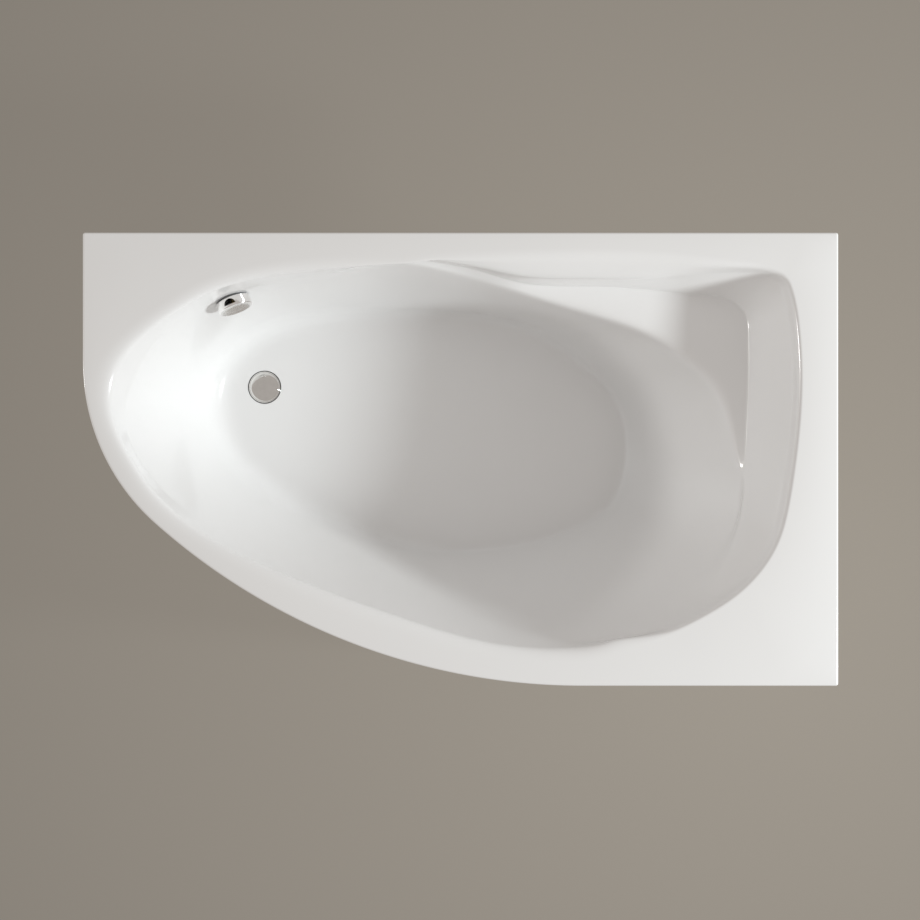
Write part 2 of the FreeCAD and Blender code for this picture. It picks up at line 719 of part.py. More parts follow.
# Blocks under the rim that the panel clips onto: place along the outline and bearing of its normal.
big_y = RIM_Y0 + FRONT_SWEEP
big_x = RIM_X0 + FRONT_CURVE
CLIP_FROM_WALL = 170.0     # clip nearest the short wall
CLIP_FROM_CURVE = 90.0     # clip on the straight front, from where the curve starts
CLIP_FROM_BACK = 130.0     # clip on the narrow end, from the long wall
CLIP_SWEEPS = (12.0, 30.0)  # clips on the curve, in degrees of its large radius
CLIP_SPOTS = []
for x in (RIM_X1 - CLIP_FROM_WALL, big_x + CLIP_FROM_CURVE):
    CLIP_SPOTS.append((V(x, RIM_Y0, 0), 0.0))
for sweep in CLIP_SWEEPS:
    a = math.radians(sweep)
    CLIP_SPOTS.append((V(big_x - FRONT_SWEEP * math.sin(a), big_y - FRONT_SWEEP * math.cos(a), 0), -sweep))
CLIP_SPOTS.append((V(RIM_X0, RIM_Y1 - CLIP_FROM_BACK, 0), -90.0))
CLIP_BLOCK = 18.0
CLIP_SHEET = 1.5
CLIP_DROP = 26.0

block_in = PANEL_IN + 2 * SEAT_CLEAR + CLIP_SHEET
block = box(-15, 15, block_in, block_in + CLIP_BLOCK, RIM_UNDER_Z - CLIP_BLOCK, RIM_UNDER_Z)
clip_y = block_in - SEAT_CLEAR - CLIP_SHEET
clip_z = RIM_UNDER_Z - CLIP_BLOCK
clip_line = [(clip_y, clip_z + 12), (clip_y, clip_z - CLIP_DROP), (clip_y + CLIP_SHEET, clip_z - CLIP_DROP),
             (clip_y + CLIP_SHEET, clip_z - CLIP_SHEET), (block_in + CLIP_BLOCK - 2, clip_z - CLIP_SHEET),
             (block_in + CLIP_BLOCK - 2, clip_z), (clip_y + CLIP_SHEET, clip_z),
             (clip_y + CLIP_SHEET, clip_z + 12)]
spots = [V(-10, y, z) for y, z in clip_line]
clip = Part.Face(Part.makePolygon(spots + spots[:1])).extrude(V(20, 0, 0))
clip_screw_at = V(0, block_in + CLIP_BLOCK / 2, clip_z - CLIP_SHEET)
clip = clip.cut(cylinder(SCREW_R + 0.1, clip_screw_at - UP * 5, clip_screw_at + UP * 5))
clip_screw = screw(clip_screw_at, UP, 13.0)
block = block.cut(cylinder(SCREW_R + 0.05, clip_screw_at, clip_screw_at + UP * 13.5))
keep("panel_blocks", group([placed(block, s, d) for s, d in CLIP_SPOTS]))
keep("panel_clips", group([placed(clip, s, d) for s, d in CLIP_SPOTS]))
keep("panel_clip_screws", group([placed(clip_screw, s, d) for s, d in CLIP_SPOTS]))

# Flat stays from the channels forward to the foot of the panel.
STAY_WIDTH = 20.0
STAY_SHEET = 3.0
stays = []
stay_screws = []
for x, ends in ((FOOT_CHANNEL_X, FOOT_CHANNEL_Y), (HEAD_CHANNEL_X, HEAD_CHANNEL_Y)):
    corner_x = x - STAY_WIDTH / 2
    lean = math.asin((big_x - corner_x) / (FRONT_SWEEP - PANEL_IN))
    front = big_y - (FRONT_SWEEP - PANEL_IN) * math.cos(lean) + SEAT_CLEAR
    z1 = WEB_Z
    z0 = z1 - STAY_SHEET
    rod_y = ends[0] + END_TO_ROD
    strip = box(x - STAY_WIDTH / 2, x + STAY_WIDTH / 2, front, rod_y - NUT_R - 1, z0, z1)
    lug = box(x - STAY_WIDTH / 2, x + STAY_WIDTH / 2, front, front + STAY_SHEET, z0, z1 + 30)
    screw_at = V(x, (ends[0] + rod_y - NUT_R - 1) / 2, z0)
    strip = strip.fuse(lug).cut(cylinder(SCREW_R + 0.1, screw_at - UP, screw_at + UP * 10))
    stays.append(strip.removeSplitter())
    stay_screws.append(screw(screw_at, UP, 10.0))
keep("panel_stays", group(stays))
keep("stay_screws", group(stay_screws))
STAY_HOLES = group([cylinder(SCREW_R + 0.05, s.BoundBox.Center - UP * 15, s.BoundBox.Center + UP * 15)
                    for s in stay_screws])
for name in ("foot_end_channel", "head_end_channel"):
    keep(name, PIECES[name].cut(STAY_HOLES))


# ---------------------------------------------------------------- drain
FLANGE_GASKET = 1.0
BODY_GASKET = 2.0
BARREL_R = 24.0
BARREL_LONG = 30.0
WEB_THICK = 4.0
CAP_THICK = 2.2
CAP_DOME = 4.0
BODY_R = 30.0
BODY_FLANGE_R = 40.0
BOWL_R = 27.0
BOWL_DEEP = 22.0
DIP_R = 19.0
DIP_BORE = 16.0
LEVER_ARM = 22.0
LEVER_SWING = math.asin(PLUG_LIFT / 2 / LEVER_ARM)
LEVER_PIN_R = 2.0
ROLLER_R = 3.0

flange_z = RECESS_Z + FLANGE_GASKET
flange_top = flange_z + FLANGE_THICK
barrel_z = flange_z - BARREL_LONG
web_z = flange_z - 20.0
keep("flange_gasket", tube(FLANGE_R - 1, DRAIN_HOLE + 1, drain(RECESS_Z), drain(flange_z)))

flange = turned([(barrel_z, FLANGE_BORE), (barrel_z, BARREL_R), (flange_z, BARREL_R), (flange_z, FLANGE_R),
                 (flange_top, FLANGE_R - 1.6), (flange_top, FLANGE_BORE)], drain(0), UP)
web = box(DRAIN_X - FLANGE_BORE - 0.5, DRAIN_X + FLANGE_BORE + 0.5, DRAIN_Y - 1.5, DRAIN_Y + 1.5,
          web_z, web_z + WEB_THICK)
cross = web.copy()
cross.rotate(drain(0), UP, 90)
hub = cylinder(STEM_R + 2.5, drain(web_z - 2), drain(web_z + WEB_THICK + 2))
flange = flange.fuse([web, cross, hub])
flange = flange.cut(cylinder(STEM_R + RUN_CLEAR, drain(web_z - 5), drain(web_z + 12)))
keep("waste_flange", flange.removeSplitter())

cap_z = flange_top + SEAT_CLEAR
neck_z = cap_z - 7.0
NECK_R = FLANGE_BORE - 4.0
crown = [(cap_z + CAP_THICK + CAP_DOME * (1 - share ** 2), PLUG_R * share) for share in (1.0, 0.7, 0.35)]
plug = turned([(cap_z, NECK_R), (cap_z, PLUG_R)] + crown
              + [(crown[-1][0], 0), (neck_z, 0), (neck_z, NECK_R)], drain(0), UP)
stem_top = cap_z - 1.0
plug = plug.cut(cylinder(STEM_R + 0.05, drain(neck_z - 1), drain(stem_top)))
keep("waste_plug", plug)
keep("plug_seal", tube(FLANGE_BORE - 0.4, NECK_R + 0.05, drain(neck_z + 0.6), drain(cap_z - 1.6)))

pivot_z = barrel_z - 12.0
roller_z = pivot_z - LEVER_ARM * math.sin(LEVER_SWING)
stem_z = roller_z + ROLLER_R + SEAT_CLEAR
keep("plug_stem", cylinder(STEM_R, drain(stem_z), drain(stem_top)))

body_top = UNDER_Z - BODY_GASKET
bowl_z = barrel_z - BOWL_DEEP
nozzle_z = barrel_z - 7.0
dip_z = 18.0
keep("body_gasket", tube(BODY_FLANGE_R - 2, DRAIN_HOLE + 1, drain(body_top), drain(UNDER_Z)))

HOSE_TURN = hose_line(nozzle_z)
HOSE_WAY = unit(HOSE_TURN - drain(nozzle_z))
CABLE_WAY = unit(V(-0.95, 0.31, 0))
PIPE_WAY = V(0, 1, 0)
NOZZLE_R = 12.0
NOZZLE_BORE = 9.5
NOZZLE_REACH = 62.0
body = turned([(dip_z, DIP_BORE), (dip_z, DIP_R), (bowl_z - 3, DIP_R), (bowl_z - 3, BODY_R - 3), (bowl_z, BODY_R),
               (body_top - 4, BODY_R), (body_top - 4, BODY_FLANGE_R), (body_top, BODY_FLANGE_R),
               (body_top, BARREL_R + 0.1), (barrel_z - 1, BARREL_R + 0.1), (barrel_z - 1, BOWL_R),
               (bowl_z, BOWL_R), (bowl_z, DIP_BORE)], drain(0), UP)
nozzle = cylinder(NOZZLE_R, drain(nozzle_z, BOWL_R + 1, HOSE_WAY), drain(nozzle_z, NOZZLE_REACH, HOSE_WAY))
nozzle_hole = cylinder(NOZZLE_BORE, drain(nozzle_z, BOWL_R - 8, HOSE_WAY),
                       drain(nozzle_z, NOZZLE_REACH + 5, HOSE_WAY))
PIVOT = V(DRAIN_X - LEVER_ARM, DRAIN_Y, pivot_z)
pin_half = math.sqrt(BODY_R ** 2 - LEVER_ARM ** 2) + 1.5
side = V(0, 1, 0)
body = body.fuse(nozzle).cut(nozzle_hole)
body = body.cut(cylinder(LEVER_PIN_R + 0.05, PIVOT - side * 40, PIVOT + side * 40))
body = body.cut(cylinder(CABLE_R + 0.1, drain(pivot_z, BODY_R - 6, CABLE_WAY), drain(pivot_z, 50, CABLE_WAY)))
keep("waste_body", body.removeSplitter())
keep("lever_pin", cylinder(LEVER_PIN_R, PIVOT - side * pin_half, PIVOT + side * pin_half))

nose = V(DRAIN_X - LEVER_ARM * (1 - math.cos(LEVER_SWING)), DRAIN_Y, roller_z)
arm_half = side * 3.0
arm_way = unit(nose - PIVOT)
arm_up = arm_way.cross(side) * 2.0
spots = [PIVOT - arm_half + arm_up, nose - arm_half + arm_up, nose - arm_half - arm_up, PIVOT - arm_half - arm_up]
lever = Part.Face(Part.makePolygon(spots + spots[:1])).extrude(arm_half * 2)
lever = lever.fuse(cylinder(4.2, PIVOT - arm_half, PIVOT + arm_half))
lever = lever.fuse(cylinder(ROLLER_R, nose - arm_half, nose + arm_half))
lever = lever.cut(cylinder(LEVER_PIN_R + RUN_CLEAR, PIVOT - side * 9, PIVOT + side * 9))
keep("lift_lever", lever.removeSplitter())


# ---------------------------------------------------------------- trap
DRUM_R = 45.0
DRUM_WALL = 3.0
DRUM_Z0 = 8.0
drum_z1 = bowl_z - 12.0
NECK_WALL = 3.0
NECK_RISE = 5.0
neck_in = DIP_R + 0.3
neck_out = neck_in + NECK_WALL
outlet_z = drum_z1 - PIPE_R - 7.0
SOCKET_R = PIPE_R + 3.3
SOCKET_REACH = 70.0
CAP_Z = DRUM_Z0 + 27.0
CAP_R = 19.0
EYE_REACH = DRUM_R + 7.0

drum = turned([(DRUM_Z0, 0), (DRUM_Z0, DRUM_R), (drum_z1, DRUM_R), (drum_z1, neck_out),
               (drum_z1 + NECK_RISE, neck_out),
               (drum_z1 + NECK_RISE, neck_in), (drum_z1 - DRUM_WALL, neck_in),
               (drum_z1 - DRUM_WALL, DRUM_R - DRUM_WALL), (DRUM_Z0 + DRUM_WALL, DRUM_R - DRUM_WALL),
               (DRUM_Z0 + DRUM_WALL, 0)], drain(0), UP)
EYE_WAY = PIPE_WAY * -1
drum = drum.fuse([
    cylinder(SOCKET_R, drain(outlet_z, DRUM_R - 6, PIPE_WAY), drain(outlet_z, SOCKET_REACH, PIPE_WAY)),
    cylinder(CAP_R, drain(CAP_Z, DRUM_R - 6, EYE_WAY), drain(CAP_Z, EYE_REACH, EYE_WAY))])
inside = cylinder(DRUM_R - DRUM_WALL, drain(DRUM_Z0 + DRUM_WALL), drain(drum_z1 - DRUM_WALL))
drum = drum.cut(inside)
drum = drum.cut(cylinder(PIPE_R + 0.3, drain(outlet_z, DRUM_R - 12, PIPE_WAY),
                         drain(outlet_z, SOCKET_REACH + 5, PIPE_WAY)))
drum = drum.cut(cylinder(CAP_R - 3, drain(CAP_Z, DRUM_R - 12, EYE_WAY), drain(CAP_Z, EYE_REACH + 5, EYE_WAY)))
keep("trap_drum", drum.removeSplitter())

NUT_SIDES = 8
neck_top = drum_z1 + NECK_RISE + SEAT_CLEAR
union = nut(neck_out + 6, DIP_R + 0.1, drain(drum_z1 + 0.5), drain(bowl_z - 3.3), NUT_SIDES)
keep("trap_nut", union.cut(cylinder(neck_out + SEAT_CLEAR, drain(drum_z1), drain(neck_top))))

eye_end = EYE_REACH + SEAT_CLEAR
cap = nut(CAP_R + 4.5, 0, drain(CAP_Z, DRUM_R + 1.5, EYE_WAY), drain(CAP_Z, eye_end + 5, EYE_WAY), NUT_SIDES)
keep("trap_cap", cap.cut(cylinder(CAP_R + SEAT_CLEAR, drain(CAP_Z, DRUM_R, EYE_WAY), drain(CAP_Z, eye_end, EYE_WAY))))

PIPE_BORE = PIPE_R - 2.0
SPIGOT_FROM = 81.0
PIPE_END = 175.0
pipe = cylinder(PIPE_R, drain(outlet_z, DRUM_R + 4, PIPE_WAY), drain(outlet_z, PIPE_END, PIPE_WAY))
pipe = pipe.fuse(cylinder(SPIGOT_R, drain(outlet_z, SPIGOT_FROM, PIPE_WAY), drain(outlet_z, PIPE_END, PIPE_WAY)))
pipe = pipe.cut(cylinder(PIPE_BORE, drain(outlet_z, DRUM_R, PIPE_WAY), drain(outlet_z, PIPE_END + 5, PIPE_WAY)))
keep("outlet_pipe", pipe.removeSplitter())
socket_end = SOCKET_REACH + SEAT_CLEAR
union = nut(SOCKET_R + 5, PIPE_R + 0.1, drain(outlet_z, SOCKET_REACH - 14, PIPE_WAY),
            drain(outlet_z, socket_end + 6, PIPE_WAY), NUT_SIDES)
keep("outlet_nut", union.cut(cylinder(SOCKET_R + SEAT_CLEAR, drain(outlet_z, SOCKET_REACH - 16, PIPE_WAY),
                                      drain(outlet_z, socket_end, PIPE_WAY))))


# ---------------------------------------------------------------- overflow
FACE_R = 31.0
FACE_IN = 2.0              # the dished wall rises this far under the face ring's edge
FACE_THICK = 3.0
CHAMBER_R = 27.0
GASKET_R = 36.0
SPINDLE_R = 4.0
face_top = FACE_IN + FACE_THICK
back = CHAMBER_BACK
floor_back = back - CHAMBER_DEEP

face = cylinder(FACE_R, overflow(FACE_IN), overflow(face_top))
face = face.fuse(tube(OVERFLOW_HOLE - 1, OVERFLOW_HOLE - 3, overflow(back - 8), overflow(FACE_IN + 0.5)))
face = face.fuse(cylinder(SPINDLE_R + 3, overflow(FACE_IN - 6), overflow(face_top)))
for quarter in range(4):
    a = math.radians(45 + 90 * quarter)
    hole = overflow(0, 13.0 * math.sin(a), 13.0 * math.cos(a))
    face = face.cut(cylinder(5.5, hole - INTO, hole + INTO * (face_top + 2)))
face = face.cut(cylinder(SPINDLE_R + RUN_CLEAR, overflow(-20), overflow(20)))
keep("overflow_face", face.removeSplitter())

gasket = tube(GASKET_R, OVERFLOW_HOLE + 0.5, overflow(back), overflow(-WALL + 8)).cut(SHELL)
keep("overflow_gasket", max(gasket.Solids, key=lambda s: (SPOT - s.CenterOfMass).dot(INTO)))

chamber = turned([(back, OVERFLOW_HOLE - 0.9), (back, GASKET_R), (back - 4, GASKET_R), (back - 4, CHAMBER_R),
                  (floor_back + 3, CHAMBER_R), (floor_back, CHAMBER_R - 3), (floor_back, 0),
                  (floor_back + 3, 0), (floor_back + 3, CHAMBER_R - 3), (back - 9, CHAMBER_R - 3),
                  (back - 9, OVERFLOW_HOLE - 0.9)], SPOT, INTO)
SPOUT_REACH = 58.0
chamber = chamber.fuse(cylinder(NOZZLE_R, overflow(SPOUT_AT, -CHAMBER_R + 4), overflow(SPOUT_AT, -SPOUT_REACH)))
chamber = chamber.cut(cylinder(NOZZLE_BORE, overflow(SPOUT_AT, -CHAMBER_R + 9), overflow(SPOUT_AT, -SPOUT_REACH - 5)))
chamber = chamber.cut(cylinder(SPINDLE_R + RUN_CLEAR, overflow(floor_back - 5), overflow(floor_back + 8)))
WHEEL_R = 15.0
WHEEL_THICK = 6.0
wheel_at = floor_back + 4
cable_at = wheel_at + WHEEL_THICK / 2
chamber = chamber.cut(cylinder(CABLE_R + 0.1, overflow(cable_at, -WHEEL_R, -10), overflow(cable_at, -WHEEL_R, -40)))
keep("overflow_body", chamber.removeSplitter())

knob_in = KNOB_GAP
knob_out = KNOB_GAP + KNOB_THICK
SKIN = 2.5
knob = turned([(knob_in, KNOB_R - SKIN), (knob_in, KNOB_R), (knob_out - 2, KNOB_R), (knob_out, KNOB_R - 2),
               (knob_out, 0), (knob_in + 2, 0), (knob_in + 2, SPINDLE_R + 4),
               (knob_out - SKIN, SPINDLE_R + 4), (knob_out - SKIN, KNOB_R - SKIN)], SPOT, INTO)
inlet = cylinder(11.0, overflow(knob_in + 8, KNOB_R - 10, -4), overflow(knob_in + 8, KNOB_R + 10, -4))
knob = knob.cut(inlet)
knob = knob.cut(cylinder(SPINDLE_R + 0.05, overflow(knob_in - 1), overflow(knob_out - 4)))
keep("overflow_knob", knob)
keep("knob_spindle", cylinder(SPINDLE_R, overflow(floor_back - 3), overflow(knob_out - 4.5)))
wheel_end = wheel_at + WHEEL_THICK
keep("cable_wheel", tube(WHEEL_R, SPINDLE_R + 0.05, overflow(wheel_at), overflow(wheel_end)))


# ---------------------------------------------------------------- hose and cable
def held(points, radius):
    """Round bar along straight runs, joined by arcs that take up most of each shorter run."""
    bars = []
    length = 0.0
    start = points[0]
    for a, b, c in zip(points, points[1:], points[2:]):
        into = unit(b - a)
        onward = unit(c - b)
        turn = math.acos(into.dot(onward))
        reach = 0.45 * min((b - a).Length, (c - b).Length)
        bend = reach / math.tan(turn / 2)
        first = b - into * reach
        bars.append(cylinder(radius, start, first))
        disc = Part.Face(Part.Wire([Part.makeCircle(radius, first, into)]))
        axis = unit(into.cross(onward))
        middle = first + axis.cross(into) * bend
        bars.append(disc.revolve(middle, axis, math.degrees(turn)))
        length += (first - start).Length + bend * turn
        print("bend radius", round(bend, 1), "for radius", radius)
        start = b + onward * reach
    bars.append(cylinder(radius, start, points[-1]))
    length += (points[-1] - start).Length
    bar = bars[0].fuse(bars[1:]).removeSplitter()
    print("length", round(length, 1), "fill", round(bar.Volume / (math.pi * radius ** 2 * length), 4))
    return bar


GRIP = 22.0                # how far the hose is pushed onto each spout
hose_points = [overflow(SPOUT_AT, -SPOUT_REACH + GRIP), HOSE_TURN, drain(nozzle_z, NOZZLE_REACH - GRIP, HOSE_WAY)]
keep("overflow_hose", held(hose_points, HOSE_R).cut(held(hose_points, HOSE_BORE)))

CLAMP = 16.0
clamps = []
for start, way in ((hose_points[0], UPHILL * -1), (hose_points[-1], HOSE_WAY)):
    clamps.append(nut(HOSE_R + 5, HOSE_R + SEAT_CLEAR, start + way, start + way * (1 + CLAMP), NUT_SIDES))
keep("hose_nuts", group(clamps))

CABLE_ASIDE = 62.0
first_turn = overflow(cable_at, -WHEEL_R, -CABLE_ASIDE)
second_turn = first_turn - UPHILL * ((first_turn.z - pivot_z) / UPHILL.z)
third_turn = drain(pivot_z, 110.0, CABLE_WAY)
cable_points = [overflow(cable_at, -WHEEL_R, -20.0), first_turn, second_turn, third_turn,
                drain(pivot_z, BODY_R - 2, CABLE_WAY)]
keep("bowden_cable", held(cable_points, CABLE_R))

GLAND_R = 5.5
GLAND_BORE = CABLE_R + 0.1
upper = tube(GLAND_R, GLAND_BORE, overflow(cable_at, -WHEEL_R, -18.0), overflow(cable_at, -WHEEL_R, -36.0))
upper = upper.cut(cylinder(CHAMBER_R + SEAT_CLEAR, overflow(floor_back - 9), overflow(back)))
lower = tube(GLAND_R, GLAND_BORE, drain(pivot_z, BODY_R - 4, CABLE_WAY), drain(pivot_z, BODY_R + 14, CABLE_WAY))
lower = lower.cut(cylinder(BODY_R + SEAT_CLEAR, drain(bowl_z - 3), drain(body_top)))
keep("cable_glands", group([upper, lower]))


# ---------------------------------------------------------------- written out
os.makedirs("parts", exist_ok=True)
for name, shape in PIECES.items():
    shape.exportStep("parts/" + name + ".step")
    print(name, len(shape.Solids), shape.isValid(), round(shape.Volume / 1000.0, 1), "cm3")
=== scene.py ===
import json
import math

import bmesh
import bpy
import numpy as np
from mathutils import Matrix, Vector


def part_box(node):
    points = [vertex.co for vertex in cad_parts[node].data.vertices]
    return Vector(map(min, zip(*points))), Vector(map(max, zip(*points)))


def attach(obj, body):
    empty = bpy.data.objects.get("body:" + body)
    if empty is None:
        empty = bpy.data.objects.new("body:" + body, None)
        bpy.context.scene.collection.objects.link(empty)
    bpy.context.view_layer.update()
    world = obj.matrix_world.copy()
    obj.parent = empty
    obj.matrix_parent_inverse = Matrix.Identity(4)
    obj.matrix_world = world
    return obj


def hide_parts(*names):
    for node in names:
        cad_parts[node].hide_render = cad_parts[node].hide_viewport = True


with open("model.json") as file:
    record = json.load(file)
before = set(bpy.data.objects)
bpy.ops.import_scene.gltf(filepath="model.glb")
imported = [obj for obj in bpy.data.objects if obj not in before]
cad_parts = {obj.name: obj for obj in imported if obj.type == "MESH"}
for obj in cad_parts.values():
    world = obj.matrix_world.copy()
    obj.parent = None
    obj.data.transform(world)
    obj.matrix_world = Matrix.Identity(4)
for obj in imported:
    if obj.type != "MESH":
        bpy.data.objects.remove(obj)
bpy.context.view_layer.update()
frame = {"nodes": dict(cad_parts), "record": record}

# ---------------------------------------------------------------- sizes, in metres
LENGTH = 1.500
WIDTH = 0.900
RIM_HEIGHT = 0.570
BASIN_DEPTH = 0.420
SEAT_DEPTH = 0.127
WALL = 0.008
LIP_DROP = 0.035
LIP_WALL = 0.006
CORNER_ROUND = 0.005
EDGE_ROUND = 0.004

RIM_BACK = 0.032
RIM_RIGHT = 0.069
RIM_FRONT = 0.065
RIM_LEFT = 0.045

FRONT_STRAIGHT = 0.510
FRONT_SWEEP = 1.272
END_SWEEP = 0.428

FLOOR_LENGTH = 0.868
FLOOR_WIDTH = 0.505
FLOOR_X = -0.085
FLOOR_Y = 0.059

STEP_FALL = 0.024
STEP_REACH = 0.020
ROLL_SOFT = 0.030
ROLL_CRISP = 0.007
ROLL_BACK = 0.020
RIM_EASE = 0.026           # the rounded front of the rim starts this much further out
EASE_RIGHT = 0.55          # and by this share of it at the front's right end
PLAIN_FOOT = 0.60          # how far from brow to fold the wall's upper foot lies
ROUND_FOOT = (0.80, 0.80, 0.36)        # the same behind the seat, along x, y and z
FOLD_SOFT = 0.018
FOLD_CRISP = 0.007
FOLD_RUN = 0.014           # from the wall's upper foot towards the fold
EDGE_ABOVE = 0.030
EDGE_BELOW = 0.034
FLOOR_BEND = 0.040
FOOT_BEND = 0.100
END_BEND = 0.014

# Where round the basin each form holds: bearings from, to and the fade on either side, in degrees.
EASE_FRONT_SPAN = (172, 300, 22)
EASE_RIGHT_SPAN = (290, 330, 22)
STEP_SPAN = (-42, 26, 18)
CRISP_SPAN = (-38, 26, 12)
BACK_SPAN = (42, 92, 14)
SEAT_SPAN = (-6, 80, 9)
FOOT_SPAN = (150, 190, 80)
HEAD_SPAN = (-70, 10, 24)

DRAIN_X = -0.416
DRAIN_Y = 0.153
DRAIN_HOLE = 0.026
RECESS_R = 0.0351
RECESS = 0.003
FLANGE_GASKET = 0.001
FLANGE_R = 0.0334
FLANGE_THICK = 0.0024
FLANGE_BORE = 0.022
BARREL_R = 0.024
BARREL_LONG = 0.030
WEB_DROP = 0.020
WEB_THICK = 0.004
WEB_WIDE = 0.003
PLUG_R = 0.0308
PLUG_EDGE = 0.0022
PLUG_DOME = 0.0036
PLUG_NECK = 0.018
NECK_LONG = 0.007
SEAT_CLEAR = 0.0003
STEM_R = 0.004
HUB_R = 0.0065
OVERFLOW_HOLE = 0.024
KNOB_R = 0.035
KNOB_IN = 0.006            # from the wall to the knob's back
KNOB_OUT = 0.026
KNOB_SKIN = 0.0025
KNOB_EDGE = 0.0024
INLET_R = 0.012
INLET_TO = 0.0212          # the inlet's straight side, nearest the bather
INLET_ASIDE = -0.006

HOSE_R = 0.015
HOSE_VALLEY = 0.0137
HOSE_BORE = 0.0123
HOSE_PITCH = 0.005
HOSE_CUFF = 0.024          # plain end that is pushed onto a spout
HOSE_ROUTE = [(-0.47026, 0.34792, 0.42352), (-0.45452, 0.30671, 0.20776), (-0.44746, 0.28820, 0.11100),
              (-0.42507, 0.19196, 0.11100)]
CABLE_R = 0.003
CABLE_ROUTE = [(-0.49289, 0.35113, 0.44269), (-0.53213, 0.33615, 0.44269), (-0.52913, 0.32829, 0.40155),
               (-0.51369, 0.28785, 0.18995), (-0.50757, 0.27181, 0.10600), (-0.52057, 0.18712, 0.10600),
               (-0.44262, 0.16169, 0.10600)]

ROD_R = 0.006
THREAD_PITCH = 0.00175
THREAD_DEEP = 0.0007
FEET = [(-0.285, -0.160), (-0.285, 0.280), (0.165, -0.290), (0.165, 0.340), (0.688, -0.394)]

RIM_X0 = -LENGTH / 2
RIM_X1 = LENGTH / 2
RIM_Y0 = -WIDTH / 2
RIM_Y1 = WIDTH / 2
FLOOR_Z = RIM_HEIGHT - BASIN_DEPTH
LIP_Z = RIM_HEIGHT - LIP_DROP
RIM_UNDER_Z = RIM_HEIGHT - WALL

# ---------------------------------------------------------------- outlines of the basin
# Closed curves through a few points, as fractions of their own boxes: -1 to 1 from left to right
# and from front to back. The seat's two lines add the depth as a share of the seat's.
MOUTH = [
    (1.000, 0.352), (0.993, 0.600), (0.974, 0.790), (0.953, 0.868), (0.908, 0.914), (0.832, 0.940),
    (0.640, 0.980), (0.180, 1.000), (-0.440, 0.957), (-0.728, 0.843), (-0.900, 0.640),
    (-0.990, 0.425), (-0.990, 0.150), (-0.951, 0.005), (-0.848, -0.252), (-0.656, -0.494),
    (-0.440, -0.665), (-0.155, -0.845), (0.075, -0.960), (0.300, -1.000), (0.475, -0.960),
    (0.700, -0.806), (0.850, -0.624), (0.930, -0.440), (0.975, -0.142),
]
FLOOR_OVAL = [
    (1.000, 0.000), (0.950, 0.270), (0.804, 0.558), (0.560, 0.850), (0.316, 0.970),
    (-0.050, 1.002), (-0.540, 0.962), (-0.830, 0.770), (-0.970, 0.510), (-0.998, 0.200),
    (-0.905, -0.222), (-0.735, -0.475), (-0.540, -0.661), (-0.295, -0.826), (-0.050, -0.962),
    (0.194, -1.000), (0.440, -0.965), (0.780, -0.788), (0.925, -0.618), (0.994, -0.325),
]
FOLD = [
    (0.843, -0.195, 0.86), (0.849, -0.030, 0.92), (0.853, 0.150, 0.93), (0.858, 0.400, 0.93),
    (0.857, 0.600, 0.93), (0.848, 0.695, 0.93), (0.815, 0.752, 0.93), (0.700, 0.790, 0.93),
    (0.540, 0.820, 0.93), (0.350, 0.832, 0.92), (0.190, 0.848, 0.82), (0.070, 0.900, 0.50),
    (-0.040, 0.936, 0.25), (-0.155, 0.955, 0.12),
]
EDGE = [
    (0.839, -0.205, 0.96), (0.827, -0.050, 1.00), (0.806, 0.130, 1.00), (0.748, 0.350, 1.00),
    (0.670, 0.470, 1.00), (0.598, 0.558, 1.00), (0.424, 0.678, 1.00), (0.250, 0.765, 1.00),
    (0.062, 0.860, 0.80), (-0.040, 0.900, 0.44), (-0.155, 0.926, 0.26),
]
PLAIN_WALL = {"fold": (0.45, [125, 150, 175, 200, 225, 250, 275, 295, 315, 330]),
              "edge": (0.80, [125, 150, 175, 200, 225, 250, 275, 295, 315, 330])}
RAYS = 144
RAY_FOCUS = [(28.0, 9.0, 3.0), (168.0, 16.0, 2.0), (-8.0, 7.0, 1.5)]

MOUTH_MID = np.array([(RIM_X0 + RIM_LEFT + RIM_X1 - RIM_RIGHT) / 2,
                      (RIM_Y0 + RIM_FRONT + RIM_Y1 - RIM_BACK) / 2])
MOUTH_HALF = np.array([(RIM_X1 - RIM_RIGHT - RIM_X0 - RIM_LEFT) / 2,
                       (RIM_Y1 - RIM_BACK - RIM_Y0 - RIM_FRONT) / 2])


def closed_curve(points, steps=60):
    """The smooth closed curve through the points, cut into many short steps."""
    p = np.array(points, float)
    count = len(p)
    gap = np.linalg.norm(np.roll(p, -1, axis=0) - p, axis=1)
    matrix = np.zeros((count, count))
    right = np.zeros_like(p)
    for i in range(count):
        j = (i + 1) % count
        before = gap[i - 1]
        after = gap[i]
        matrix[i, i - 1] += after
        matrix[i, i] += 2 * (before + after)
        matrix[i, j] += before
        right[i] = 3 * (after * (p[i] - p[i - 1]) / before + before * (p[j] - p[i]) / after)
    slope = np.linalg.solve(matrix, right)
    t = (np.arange(steps) / steps)[:, None]
    runs = []
    for i in range(count):
        j = (i + 1) % count
        runs.append((2 * t ** 3 - 3 * t ** 2 + 1) * p[i] + (t ** 3 - 2 * t ** 2 + t) * gap[i] * slope[i]
                    + (3 * t ** 2 - 2 * t ** 3) * p[j] + (t ** 3 - t ** 2) * gap[i] * slope[j])
    return np.vstack(runs)


def centre_at(depth):
    """The point that all bearings are counted about, which drifts from mouth to floor."""
    share = depth / BASIN_DEPTH
    return MOUTH_MID + (np.array([FLOOR_X, FLOOR_Y]) - MOUTH_MID) * share


